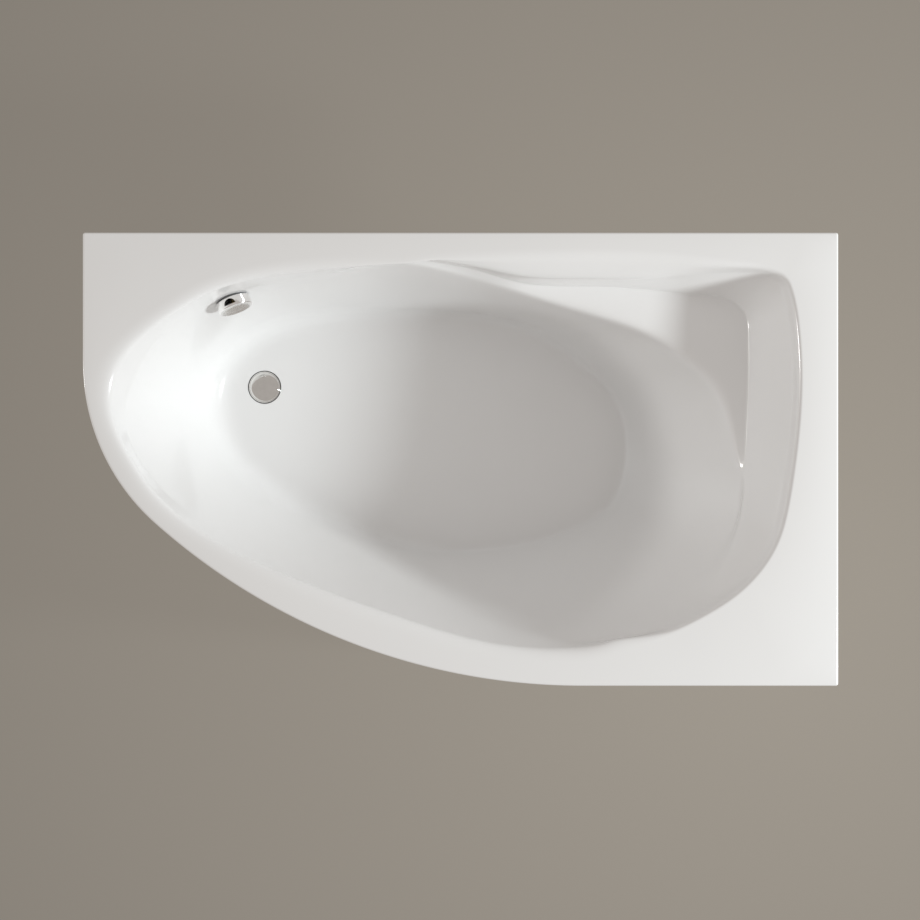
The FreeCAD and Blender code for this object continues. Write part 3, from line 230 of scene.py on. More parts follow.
def at_bearing(steps, bearing, centre):
    """The point of a closed run of steps that lies in one direction from the centre."""
    ray = np.array([math.cos(bearing), math.sin(bearing)])
    side = np.array([-ray[1], ray[0]])
    after = steps
    before = np.roll(steps, 1, axis=0)
    a = (before[:, :2] - centre) @ side
    b = (after[:, :2] - centre) @ side
    ahead = (after[:, :2] - centre) @ ray > 0
    i = int(np.flatnonzero((a <= 0) & (b > 0) & ahead)[0])
    return before[i] + (after[i] - before[i]) * (-a[i] / (b[i] - a[i]))


def rim_point(x, y, z=RIM_HEIGHT):
    """A point given in halves of the mouth's box."""
    return [MOUTH_MID[0] + x * MOUTH_HALF[0], MOUTH_MID[1] + y * MOUTH_HALF[1], z]


MOUTH_STEPS = closed_curve([rim_point(x, y) for x, y in MOUTH])
FLOOR_STEPS = closed_curve([
    [FLOOR_X + x * FLOOR_LENGTH / 2, FLOOR_Y + y * FLOOR_WIDTH / 2, FLOOR_Z] for x, y in FLOOR_OVAL])


def hump(degrees, span):
    """1 between a span's two bearings, falling smoothly to 0 over its fade on either side."""
    low, high, fade = span
    middle = (low + high) / 2
    away = abs((degrees - middle + 180) % 360 - 180) - (high - low) / 2
    share = min(max(1 - away / fade, 0.0), 1.0)
    return share * share * (3 - 2 * share)


def inward_at(bearing):
    """Level direction from the rim towards the mouth's middle."""
    return np.array([-math.cos(bearing), -math.sin(bearing), 0.0])


def mouth_at(bearing):
    """Where the flat rim ends in one direction from the mouth's middle."""
    degrees = math.degrees(bearing)
    ease = RIM_EASE * max(hump(degrees, EASE_FRONT_SPAN), EASE_RIGHT * hump(degrees, EASE_RIGHT_SPAN))
    return at_bearing(MOUTH_STEPS, bearing, centre_at(0)) - inward_at(bearing) * ease


def step_at(bearing):
    """1 where the wall starts with a short steep step, 0 where the rim rolls into it."""
    return hump(math.degrees(bearing), STEP_SPAN)


def step_foot(bearing):
    """Foot of the short steep step under the rim."""
    return mouth_at(bearing) + inward_at(bearing) * STEP_REACH + np.array([0.0, 0.0, -STEP_FALL])


def wall_point(bearing, depth):
    """A point of the plain wall, which runs straight from the rim's roll or step to the basin floor."""
    step = step_at(bearing)
    floor = at_bearing(FLOOR_STEPS, bearing, centre_at(BASIN_DEPTH))
    brow = mouth_at(bearing) + inward_at(bearing) * ROLL_SOFT
    start = brow + (step_foot(bearing) - brow) * step
    fall = STEP_FALL * step
    return start + (floor - start) * ((depth - fall) / (BASIN_DEPTH - fall))


def seat_curve(shares, plain):
    """Closed curve through the seat's own points and, past its tips, points of the plain wall."""
    points = [rim_point(x, y, RIM_HEIGHT - depth * SEAT_DEPTH) for x, y, depth in shares]
    share, bearings = plain
    points += [list(wall_point(math.radians(degrees), share * SEAT_DEPTH)) for degrees in bearings]
    centre = centre_at(SEAT_DEPTH)
    points.sort(key=lambda p: math.atan2(p[1] - centre[1], p[0] - centre[0]))
    return closed_curve(points)


FOLD_STEPS = seat_curve(FOLD, PLAIN_WALL["fold"])
EDGE_STEPS = seat_curve(EDGE, PLAIN_WALL["edge"])


# ---------------------------------------------------------------- the basin's surface
def ray_bearings():
    """Bearings that crowd together where the outlines turn tightly."""
    fine = 3600
    density = []
    for i in range(fine):
        degrees = 360.0 * i / fine
        weight = 1.0
        for middle, width, extra in RAY_FOCUS:
            away = (degrees - middle + 180) % 360 - 180
            weight += extra * math.exp(-(away / width) ** 2)
        density.append(weight)
    step = sum(density) / RAYS
    found = []
    run = 0.0
    for i, weight in enumerate(density):
        if run >= step * len(found):
            found.append(math.radians(360.0 * i / fine))
        run += weight
    return found[:RAYS]


def towards(start, end, distance, most=0.42):
    """A point at a distance along the way from start to end, or at most a share of the way."""
    way = end - start
    return start + way * min(distance / np.linalg.norm(way), most)


def profile(bearing):
    """Control points of the basin's section in one direction, from the rim to the basin floor."""
    degrees = math.degrees(bearing)
    inward = inward_at(bearing)
    mouth = mouth_at(bearing)
    fold = at_bearing(FOLD_STEPS, bearing, centre_at(SEAT_DEPTH))
    edge = at_bearing(EDGE_STEPS, bearing, centre_at(SEAT_DEPTH))
    floor = at_bearing(FLOOR_STEPS, bearing, centre_at(BASIN_DEPTH))

    step = step_at(bearing)
    crisp = hump(degrees, CRISP_SPAN)
    back = hump(degrees, BACK_SPAN)
    seat_side = hump(degrees, SEAT_SPAN)
    foot_end = hump(degrees, FOOT_SPAN)
    head_end = hump(degrees, HEAD_SPAN)
    roll = ROLL_SOFT + (ROLL_CRISP - ROLL_SOFT) * crisp + (ROLL_BACK - ROLL_SOFT) * back
    fold_run = FOLD_SOFT + (FOLD_CRISP - FOLD_SOFT) * seat_side
    bend = FLOOR_BEND + (FOOT_BEND - FLOOR_BEND) * foot_end + (END_BEND - FLOOR_BEND) * head_end

    brow = mouth + inward * roll
    plain_foot = brow + (fold - brow) * PLAIN_FOOT
    round_foot = brow + (fold - brow) * np.array(ROUND_FOOT)
    foot = plain_foot + (round_foot - plain_foot) * back
    foot = foot + (step_foot(bearing) - foot) * step
    level = FLOOR_BEND + (END_BEND - FLOOR_BEND) * head_end
    floor_in = floor + inward * level
    return [
        mouth,
        brow,
        brow + (foot - brow) * 0.55,
        foot,
        towards(foot, fold, FOLD_RUN, 0.35),
        towards(fold, foot, fold_run, 0.35),
        fold,
        towards(fold, edge, fold_run),
        towards(edge, fold, EDGE_ABOVE),
        edge,
        towards(edge, floor, EDGE_BELOW),
        edge + (floor - edge) * 0.38,
        edge + (floor - edge) * 0.64,
        towards(floor, edge, bend, 0.3),
        floor,
        floor_in,
        floor_in + inward * (0.5 * level),
    ]


def pulled_out(net):
    """Push each control point out so that the surface passes about where the point was."""
    return net - (np.roll(net, 1, axis=0) - 2 * net + np.roll(net, -1, axis=0)) / 6


def ring_basis(count, samples):
    """Weights of the control points round the basin, for evenly spread samples."""
    weights = np.zeros((samples, count))
    for s in range(samples):
        u = count * s / samples
        i = int(u)
        t = u - i
        cubic = [(1 - t) ** 3, 3 * t ** 3 - 6 * t ** 2 + 4, -3 * t ** 3 + 3 * t ** 2 + 3 * t + 1, t ** 3]
        for k, w in enumerate(cubic):
            weights[s, (i + k - 1) % count] += w / 6
    return weights


def row_basis(rows, levels):
    """Weights of the control rows from the rim to the floor, with both end rows reached."""
    last = rows - 3
    knots = [0.0] * 3 + [float(i) for i in range(last + 1)] + [float(last)] * 3
    weights = np.zeros((len(levels), rows))
    for s, v in enumerate(levels):
        v = min(v, last - 1e-9)
        basis = [1.0 if knots[i] <= v < knots[i + 1] else 0.0 for i in range(len(knots) - 1)]
        for degree in (1, 2, 3):
            following = []
            for i in range(len(basis) - 1):
                total = 0.0
                rise = knots[i + degree] - knots[i]
                fall = knots[i + degree + 1] - knots[i + 1]
                if rise > 0:
                    total += (v - knots[i]) / rise * basis[i]
                if fall > 0:
                    total += (knots[i + degree + 1] - v) / fall * basis[i + 1]
                following.append(total)
            basis = following
        weights[s] = basis
    return weights


NET = pulled_out(np.array([profile(b) for b in ray_bearings()]))


def thickened(net, distance):
    """The control net moved outwards by the thickness of the wall, square to the surface."""
    along = np.roll(net, -1, axis=0) - np.roll(net, 1, axis=0)
    moved = np.empty_like(net)
    last = net.shape[1] - 1
    down = np.array([0.0, 0.0, -1.0])
    for i in range(net.shape[0]):
        for j in range(last + 1):
            sides = []
            for a, b in ((j - 1, j), (j, j + 1)):
                if a < 0 or b > last:
                    sides.append(down)
                else:
                    n = np.cross(net[i, b] - net[i, a], along[i, j])
                    sides.append(n / np.linalg.norm(n))
            normal = sides[0] + sides[1]
            normal /= np.linalg.norm(normal)
            moved[i, j] = net[i, j] + normal * (distance / normal.dot(sides[0]))
    return moved


def surface_rings(net, samples, levels):
    """Rings of points of the surface: one ring for each level."""
    round_weights = ring_basis(net.shape[0], samples)
    row_weights = row_basis(net.shape[1], levels)
    return np.einsum("sr,rcx,lc->lsx", round_weights, net, row_weights)


# ---------------------------------------------------------------- mesh helpers
def new_object(name, verts, faces, smooth=True):
    """Mesh object in the scene, from its points and faces."""
    mesh = bpy.data.meshes.new(name)
    mesh.from_pydata([tuple(v) for v in verts], [], [tuple(f) for f in faces])
    mesh.validate()
    mesh.update()
    if smooth:
        mesh.polygons.foreach_set("use_smooth", [True] * len(mesh.polygons))
    obj = bpy.data.objects.new(name, mesh)
    bpy.context.scene.collection.objects.link(obj)
    return obj


def sharpen(obj, degrees):
    """Edges that fold by more than an angle stay crisp."""
    bm = bmesh.new()
    bm.from_mesh(obj.data)
    limit = math.radians(degrees)
    for edge in bm.edges:
        edge.smooth = len(edge.link_faces) == 2 and edge.calc_face_angle(0.0) < limit
    for face in bm.faces:
        face.smooth = True
    bm.to_mesh(obj.data)
    bm.free()


def bridge(lower, upper, count):
    """Quads between two rings of equal length, given by their first index."""
    return [(lower + i, lower + (i + 1) % count, upper + (i + 1) % count, upper + i) for i in range(count)]


def lathe(name, points, origin, axis, segments=96, sharp=30.0):
    """Body of revolution: points are (distance along the axis, radius); radius 0 closes an end."""
    axis = Vector(axis).normalized()
    side = axis.orthogonal().normalized()
    other = axis.cross(side)
    origin = Vector(origin)
    verts = []
    rows = []
    for along, radius in points:
        if radius == 0:
            rows.append([len(verts)])
            verts.append(origin + axis * along)
            continue
        rows.append(list(range(len(verts), len(verts) + segments)))
        for s in range(segments):
            a = 2 * math.pi * s / segments
            verts.append(origin + axis * along + (side * math.cos(a) + other * math.sin(a)) * radius)
    faces = []
    for low, high in zip(rows, rows[1:]):
        for s in range(segments):
            t = (s + 1) % segments
            if len(low) == 1:
                faces.append((low[0], high[t], high[s]))
            elif len(high) == 1:
                faces.append((low[s], low[t], high[0]))
            else:
                faces.append((low[s], low[t], high[t], high[s]))
    obj = new_object(name, verts, faces)
    tidy_normals(obj)
    sharpen(obj, sharp)
    return obj


def tidy_normals(obj):
    """All faces look outwards."""
    bm = bmesh.new()
    bm.from_mesh(obj.data)
    bmesh.ops.recalc_face_normals(bm, faces=bm.faces)
    bm.to_mesh(obj.data)
    bm.free()


def cut_away(obj, *cutters):
    """Take the cutters' space out of the object and delete them."""
    for cutter in cutters:
        modifier = obj.modifiers.new("cut", "BOOLEAN")
        modifier.operation = "DIFFERENCE"
        modifier.solver = "EXACT"
        modifier.object = cutter
    graph = bpy.context.evaluated_depsgraph_get()
    mesh = bpy.data.meshes.new_from_object(obj.evaluated_get(graph))
    obj.modifiers.clear()
    old = obj.data
    obj.data = mesh
    bpy.data.meshes.remove(old)
    for cutter in cutters:
        bpy.data.objects.remove(cutter)


# ---------------------------------------------------------------- procedural materials
def material(name, colour, roughness, metallic=0.0, coat=0.0, vary=0.03, scale=30.0,
             bump=0.0, bump_scale=400.0, rough_vary=0.05):
    """Principled surface whose colour, gloss and relief vary with noise over the object."""
    mat = bpy.data.materials.new(name)
    mat.use_nodes = True
    nodes = mat.node_tree.nodes
    links = mat.node_tree.links
    shader = nodes["Principled BSDF"]
    shader.inputs["Metallic"].default_value = metallic
    shader.inputs["Coat Weight"].default_value = coat
    shader.inputs["Coat Roughness"].default_value = 0.06
    place = nodes.new("ShaderNodeTexCoord")
    noise = nodes.new("ShaderNodeTexNoise")
    noise.inputs["Scale"].default_value = scale
    noise.inputs["Detail"].default_value = 6.0
    links.new(place.outputs["Object"], noise.inputs["Vector"])
    tint = nodes.new("ShaderNodeValToRGB")
    low = [max(c * (1 - vary), 0.0) for c in colour]
    high = [min(c * (1 + vary), 1.0) for c in colour]
    tint.color_ramp.elements[0].position = 0.3
    tint.color_ramp.elements[0].color = (*low, 1)
    tint.color_ramp.elements[1].position = 0.7
    tint.color_ramp.elements[1].color = (*high, 1)
    links.new(noise.outputs["Fac"], tint.inputs["Fac"])
    links.new(tint.outputs["Color"], shader.inputs["Base Color"])
    gloss = nodes.new("ShaderNodeMapRange")
    gloss.inputs["To Min"].default_value = max(roughness - rough_vary, 0.02)
    gloss.inputs["To Max"].default_value = roughness + rough_vary
    links.new(noise.outputs["Fac"], gloss.inputs["Value"])
    links.new(gloss.outputs["Result"], shader.inputs["Roughness"])
    if bump:
        grain = nodes.new("ShaderNodeTexNoise")
        grain.inputs["Scale"].default_value = bump_scale
        grain.inputs["Detail"].default_value = 3.0
        relief = nodes.new("ShaderNodeBump")
        relief.inputs["Strength"].default_value = bump
        relief.inputs["Distance"].default_value = 0.0005
        links.new(place.outputs["Object"], grain.inputs["Vector"])
        links.new(grain.outputs["Fac"], relief.inputs["Height"])
        links.new(relief.outputs["Normal"], shader.inputs["Normal"])
    return mat


def timber_material(name, light, dark, stretch):
    """Sawn wood: stretched noise for the grain."""
    mat = material(name, light, 0.62, bump=0.35, bump_scale=160.0)
    nodes = mat.node_tree.nodes
    links = mat.node_tree.links
    shader = nodes["Principled BSDF"]
    place = nodes["Texture Coordinate"]
    turn = nodes.new("ShaderNodeMapping")
    turn.inputs["Scale"].default_value = stretch
    links.new(place.outputs["Object"], turn.inputs["Vector"])
    wave = nodes.new("ShaderNodeTexNoise")
    wave.inputs["Scale"].default_value = 9.0
    wave.inputs["Detail"].default_value = 8.0
    wave.inputs["Distortion"].default_value = 1.2
    links.new(turn.outputs["Vector"], wave.inputs["Vector"])
    ramp = nodes.new("ShaderNodeValToRGB")
    ramp.color_ramp.elements[0].position = 0.38
    ramp.color_ramp.elements[0].color = (*dark, 1)
    ramp.color_ramp.elements[1].position = 0.62
    ramp.color_ramp.elements[1].color = (*light, 1)
    links.new(wave.outputs["Fac"], ramp.inputs["Fac"])
    links.new(ramp.outputs["Color"], shader.inputs["Base Color"])
    return mat


def chip_material(name, light, dark):
    """Pressed wood chips."""
    mat = material(name, light, 0.75, bump=0.5, bump_scale=220.0)
    nodes = mat.node_tree.nodes
    links = mat.node_tree.links
    cells = nodes.new("ShaderNodeTexVoronoi")
    cells.inputs["Scale"].default_value = 160.0
    ramp = nodes.new("ShaderNodeValToRGB")
    ramp.color_ramp.elements[0].color = (*dark, 1)
    ramp.color_ramp.elements[1].color = (*light, 1)
    links.new(nodes["Texture Coordinate"].outputs["Object"], cells.inputs["Vector"])
    links.new(cells.outputs["Color"], ramp.inputs["Fac"])
    links.new(ramp.outputs["Color"], nodes["Principled BSDF"].inputs["Base Color"])
    return mat


def fibre_material(name):
    """Glass-fibre mat in resin on the back of the acrylic: crossing strands, uneven gloss."""
    mat = material(name, (0.74, 0.74, 0.68), 0.45, vary=0.10, scale=14.0, bump=0.9, bump_scale=170.0,
                   rough_vary=0.15)
    nodes = mat.node_tree.nodes
    links = mat.node_tree.links
    strands = nodes.new("ShaderNodeTexVoronoi")
    strands.feature = "DISTANCE_TO_EDGE"
    strands.inputs["Scale"].default_value = 95.0
    ramp = nodes.new("ShaderNodeValToRGB")
    ramp.color_ramp.elements[0].position = 0.0
    ramp.color_ramp.elements[0].color = (0.80, 0.80, 0.75, 1)
    ramp.color_ramp.elements[1].position = 0.25
    ramp.color_ramp.elements[1].color = (0.66, 0.66, 0.58, 1)
    links.new(nodes["Texture Coordinate"].outputs["Object"], strands.inputs["Vector"])
    links.new(strands.outputs["Distance"], ramp.inputs["Fac"])
    links.new(ramp.outputs["Color"], nodes["Principled BSDF"].inputs["Base Color"])
    return mat


ACRYLIC = material("white_acrylic", (0.87, 0.87, 0.868), 0.16, coat=0.35, vary=0.006, scale=3.0,
                   bump=0.02, bump_scale=45.0, rough_vary=0.03)
PANEL = material("panel_acrylic", (0.87, 0.87, 0.865), 0.20, coat=0.3, vary=0.006, scale=3.0,
                 bump=0.02, bump_scale=45.0, rough_vary=0.03)
FIBRE = fibre_material("glass_fibre_backing")
STEEL = material("zinc_plated_steel", (0.66, 0.67, 0.69), 0.34, metallic=1.0, vary=0.10, scale=60.0,
                 bump=0.15, bump_scale=500.0, rough_vary=0.10)
DARK_PLASTIC = material("dark_moulded_plastic", (0.035, 0.035, 0.038), 0.50, vary=0.15, bump=0.25,
                        bump_scale=900.0)
RUBBER = material("black_rubber", (0.025, 0.025, 0.025), 0.75, vary=0.2, bump=0.3, bump_scale=700.0)
CHROME = material("polished_chrome", (0.78, 0.77, 0.75), 0.07, metallic=1.0, vary=0.02, scale=90.0,
                  bump=0.02, bump_scale=300.0, rough_vary=0.03)
KNOB_CHROME = material("satin_chrome", (0.93, 0.92, 0.91), 0.13, metallic=1.0, vary=0.02, scale=90.0,
                       bump=0.02, bump_scale=300.0, rough_vary=0.03)
BRASS = material("turned_brass", (0.72, 0.53, 0.25), 0.22, metallic=1.0, vary=0.08, scale=80.0,
                 bump=0.05, bump_scale=600.0)
PIPE_WHITE = material("white_pipe_plastic", (0.80, 0.80, 0.78), 0.34, vary=0.015, scale=20.0, bump=0.08,
                      bump_scale=500.0)
GREY_PLASTIC = material("grey_moulded_plastic", (0.16, 0.165, 0.175), 0.42, vary=0.08, bump=0.2,
                        bump_scale=800.0)
HOSE = material("grey_hose_plastic", (0.34, 0.345, 0.36), 0.38, vary=0.05, scale=25.0, bump=0.12,
                bump_scale=600.0)
TIMBER_X = timber_material("timber_along_x", (0.60, 0.43, 0.24), (0.42, 0.27, 0.13), (0.6, 9.0, 9.0))
TIMBER_Y = timber_material("timber_along_y", (0.60, 0.43, 0.24), (0.42, 0.27, 0.13), (9.0, 0.6, 9.0))
CHIPS = chip_material("pressed_chips", (0.55, 0.41, 0.24), (0.30, 0.20, 0.10))

FINISHES = {
    "acrylic": PANEL, "board": CHIPS, "timber": TIMBER_X, "steel": STEEL, "foot_plastic": DARK_PLASTIC,
    "rubber": RUBBER, "chrome": CHROME, "brass": BRASS, "pipe_plastic": PIPE_WHITE,
    "fitting_plastic": GREY_PLASTIC, "hose_plastic": HOSE,
}
for part in frame["record"]["subparts"]:
    mesh = frame["nodes"][part["node"]].data
    mesh.materials.clear()
    mesh.materials.append(FINISHES[part["material_slot"]])
for node in ("rim_batten_side", "corner_block"):
    frame["nodes"][node].data.materials[0] = TIMBER_Y


def dress(obj, body, finish, slot, *nodes):
    """Finish a piece, let it ride on its body, and let it stand for CAD nodes."""
    obj.data.materials.clear()
    obj.data.materials.append(finish)
    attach(obj, body)
    if nodes:
        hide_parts(*nodes)
    return obj


# ---------------------------------------------------------------- camera
CAMERA_LENS = 118.3
CAMERA_PLACE = (-0.001, -0.0016, 6.57)

camera = bpy.data.cameras.new("camera")
camera.lens = CAMERA_LENS
camera.sensor_width = 36.0
camera.clip_end = 50.0
eye = bpy.data.objects.new("camera", camera)
bpy.context.scene.collection.objects.link(eye)
eye.location = CAMERA_PLACE
eye.rotation_euler = (0, 0, 0)         # straight down
bpy.context.scene.camera = eye
bpy.context.scene.view_settings.view_transform = "Standard"


# ---------------------------------------------------------------- hose and cable
def route_curve(name, points, radius=0.0):
    """Smooth curve held by its points; with a radius it is a round bar."""
    curve = bpy.data.curves.new(name, "CURVE")
    curve.dimensions = "3D"
    spline = curve.splines.new("NURBS")
    spline.points.add(len(points) - 1)
    for spot, point in zip(spline.points, points):
        spot.co = (*point, 1.0)
    spline.order_u = 3
    spline.use_endpoint_u = True
    spline.resolution_u = 24
    curve.bevel_depth = radius
    curve.bevel_resolution = 6
    curve.use_fill_caps = True
    obj = bpy.data.objects.new(name, curve)
    bpy.context.scene.collection.objects.link(obj)
    return obj


def route_line(points):
    """Points along the smooth curve of a route."""
    guide = route_curve("route_guide", points)
    graph = bpy.context.evaluated_depsgraph_get()
    mesh = bpy.data.meshes.new_from_object(guide.evaluated_get(graph))
    line = np.array([v.co[:] for v in mesh.vertices])
    bpy.data.meshes.remove(mesh)
    bpy.data.objects.remove(guide)
    return line


def ribbed_hose(name, line, segments=32, steps_a_rib=6):
    """Corrugated hose along a line, with plain cuffs and its bore."""
    run = np.concatenate([[0.0], np.cumsum(np.linalg.norm(np.diff(line, axis=0), axis=1))])
    length = run[-1]
    count = int(length / HOSE_PITCH * steps_a_rib)
    at = np.linspace(0.0, length, count + 1)
    spots = np.stack([np.interp(at, run, line[:, k]) for k in range(3)], axis=1)
    way = np.gradient(spots, axis=0)
    way /= np.linalg.norm(way, axis=1)[:, None]
    side = np.cross(way[0], [0.0, 0.0, 1.0])
    turn = np.linspace(0.0, 2 * math.pi, segments, endpoint=False)
    outer = []
    inner = []
    for s, spot, along in zip(at, spots, way):
        side = side - along * side.dot(along)
        side = side / np.linalg.norm(side)
        other = np.cross(along, side)
        ring = np.cos(turn)[:, None] * side + np.sin(turn)[:, None] * other
        swell = 0.5 - 0.5 * math.cos(2 * math.pi * s / HOSE_PITCH)
        if min(s, length - s) < HOSE_CUFF:
            swell = 1.0
        outer.append(spot + ring * (HOSE_VALLEY + (HOSE_R - HOSE_VALLEY) * swell))
        inner.append(spot + ring * HOSE_BORE)
    rings = outer + inner[::-1]
    verts = np.concatenate(rings)
    faces = []
    for i in range(len(rings)):
        faces += bridge(i * segments, (i + 1) % len(rings) * segments, segments)
    obj = new_object(name, verts, faces)
    tidy_normals(obj)
    sharpen(obj, 70)
    return obj


hose_line = route_line(HOSE_ROUTE)
hose = ribbed_hose("ribbed_hose", hose_line)
dress(hose, "tub", HOSE, "hose_plastic", "overflow_hose")

cable = route_curve("pull_cable", CABLE_ROUTE, CABLE_R)
dress(cable, "tub", RUBBER, "rubber", "bowden_cable")


# ---------------------------------------------------------------- rim outline
def outline(inset, z):
    """Points of the rim's outline, drawn in from its outer edge; every inset has equally many."""
    left = RIM_X0 + inset
    right = RIM_X1 - inset
    front = RIM_Y0 + inset
    back = RIM_Y1 - inset
    big = FRONT_SWEEP - inset
    small = END_SWEEP - inset
    corner = max(CORNER_ROUND - inset, 0.001)
    start_x = RIM_X1 - FRONT_STRAIGHT
    big_y = front + big
    small_x = left + small
    gap = big - small
    share = (start_x - small_x) / gap
    small_y = big_y - gap * math.sqrt(1 - share * share)
    join = math.asin(share)
    spots = []

    def run(a, b, count):
        for i in range(count):
            t = i / count
            spots.append((a[0] + (b[0] - a[0]) * t, a[1] + (b[1] - a[1]) * t, z))

    def turn(cx, cy, radius, start, end, count):
        for i in range(count):
            a = start + (end - start) * i / count
            spots.append((cx + radius * math.cos(a), cy + radius * math.sin(a), z))

    quarter = math.pi / 2
    run((start_x, front), (right - corner, front), 24)
    turn(right - corner, front + corner, corner, -quarter, 0, 8)
    run((right, front + corner), (right, back - corner), 48)
    turn(right - corner, back - corner, corner, 0, quarter, 8)
    run((right - corner, back), (left + corner, back), 72)
    turn(left + corner, back - corner, corner, quarter, 2 * quarter, 8)
    run((left, back - corner), (left, small_y), 24)
    turn(small_x, small_y, small, 2 * quarter, 3 * quarter - join, 40)
    turn(start_x, big_y, big, 3 * quarter - join, 3 * quarter, 56)
    return spots


# ---------------------------------------------------------------- tub
SAMPLES = 720
SPANS = NET.shape[1] - 3               # of the surface, from the rim to the basin floor
LEVELS = np.linspace(0.0, SPANS, 12 * SPANS + 1)
COARSE = np.linspace(0.0, SPANS, 4 * SPANS + 1)
SECTION = [(EDGE_ROUND, RIM_HEIGHT)]
for i in range(1, 7):
    a = math.radians(90 - 15 * i)
    SECTION.append((EDGE_ROUND * (1 - math.cos(a)), RIM_HEIGHT - EDGE_ROUND * (1 - math.sin(a))))
SECTION += [(0.0, LIP_Z + 0.001), (0.001, LIP_Z), (LIP_WALL - 0.001, LIP_Z), (LIP_WALL, LIP_Z + 0.001),
            (LIP_WALL, RIM_UNDER_Z)]


def flat_between(outer, inner):
    """Triangles that fill the flat ring between two closed runs; they count through both runs."""
    bm = bmesh.new()
    loops = []
    for ring in (outer, inner):
        made = [bm.verts.new(p) for p in ring]
        loops += [bm.edges.new((a, b)) for a, b in zip(made, made[1:] + made[:1])]
    bm.verts.index_update()
    result = bmesh.ops.triangle_fill(bm, use_beauty=True, use_dissolve=False, edges=loops)
    bm.verts.index_update()
    faces = [[v.index for v in f.verts] for f in result["geom"] if isinstance(f, bmesh.types.BMFace)]
    bm.free()
    return faces


def tub():
    """Rim, lip and basin, closed underneath by the backing."""
    inside = surface_rings(NET, SAMPLES, LEVELS)
    outside = surface_rings(thickened(NET, WALL), SAMPLES, COARSE)
    verts = []
    faces = []

    def add(ring):
        verts.extend([tuple(p) for p in ring])
        return len(verts) - len(ring)

    inner = [add(ring) for ring in inside]
    for upper, lower in zip(inner, inner[1:]):
        faces += bridge(lower, upper, SAMPLES)
    faces.append(tuple(inner[-1] + i for i in range(SAMPLES)))
    outline_rings = [outline(inset, z) for inset, z in SECTION]
    count = len(outline_rings[0])
    rim = [add(ring) for ring in outline_rings]
    for upper, lower in zip(rim, rim[1:]):
        faces += bridge(lower, upper, count)
    top = flat_between(outline_rings[0], [tuple(p) for p in inside[0]])
    faces += [tuple(rim[0] + i if i < count else inner[0] + i - count for i in f) for f in top]
    backing_from = len(faces)
    outer = [add(ring) for ring in outside]
    for upper, lower in zip(outer, outer[1:]):
        faces += bridge(upper, lower, SAMPLES)
    faces.append(tuple(outer[-1] + i for i in reversed(range(SAMPLES))))
    under = flat_between(outline_rings[-1], [tuple(p) for p in outside[0]])
    faces += [tuple(rim[-1] + i if i < count else outer[0] + i - count for i in f) for f in under]
    obj = new_object("bath_tub", verts, faces)
    obj.data.materials.append(ACRYLIC)
    obj.data.materials.append(FIBRE)
    marks = [0] * backing_from + [1] * (len(faces) - backing_from)
    obj.data.polygons.foreach_set("material_index", marks)
    tidy_normals(obj)
    return obj


TUB = tub()
UP = (0, 0, 1)
AT_DRAIN = (DRAIN_X, DRAIN_Y, 0)

# The overflow's place and direction are those of its knob's joint.
knob_turn = next(j for j in frame["record"]["behaviour"]["joints"] if j["name"] == "knob_turn")
SPOT = Vector(knob_turn["pos_m"])
INTO = Vector(knob_turn["axis"]).normalized()
UPHILL = (Vector((0, 0, 1)) - INTO * INTO.z).normalized()
ACROSS = UPHILL.cross(INTO)


def overflow(along, up=0.0, across=0.0):
    """A point of the overflow, counted from the wall's inner face towards the bather."""
    return SPOT + INTO * along + UPHILL * up + ACROSS * across


def recess_cutter():
    """The drain's seat in the basin floor, with a softened upper edge."""
    low = FLOOR_Z - RECESS
    high = FLOOR_Z + 0.02
    soft_r = RECESS_R + 0.0008
    points = [(low, 0), (low, RECESS_R - 0.001), (low + 0.001, RECESS_R), (FLOOR_Z - 0.0006, RECESS_R),
              (FLOOR_Z + 0.0002, soft_r), (high, soft_r), (high, 0)]
    return lathe("recess_cutter", points, AT_DRAIN, UP)


def bore_cutter(name, radius, low, high, origin, axis):
    """Round bore between two distances along its axis."""
    return lathe(name, [(low, 0), (low, radius), (high, radius), (high, 0)], origin, axis)


cut_away(TUB, recess_cutter(),
         bore_cutter("drain_cutter", DRAIN_HOLE, FLOOR_Z - 0.05, FLOOR_Z, AT_DRAIN, UP),
         bore_cutter("overflow_cutter", OVERFLOW_HOLE, -0.04, 0.03, SPOT, INTO))
sharpen(TUB, 32)
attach(TUB, "tub")
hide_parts("bath_shell")


# ---------------------------------------------------------------- drain
FLANGE_Z = FLOOR_Z - RECESS + FLANGE_GASKET
FLANGE_TOP = FLANGE_Z + FLANGE_THICK
CAP_Z = FLANGE_TOP + SEAT_CLEAR


def thread(low, high, radius):
    """Crests and roots of a screw thread along a turned piece."""
    points = []
    z = low
    while z < high:
        points += [(z + THREAD_PITCH / 2, radius), (z + THREAD_PITCH, radius - THREAD_DEEP)]
        z += THREAD_PITCH
    return points


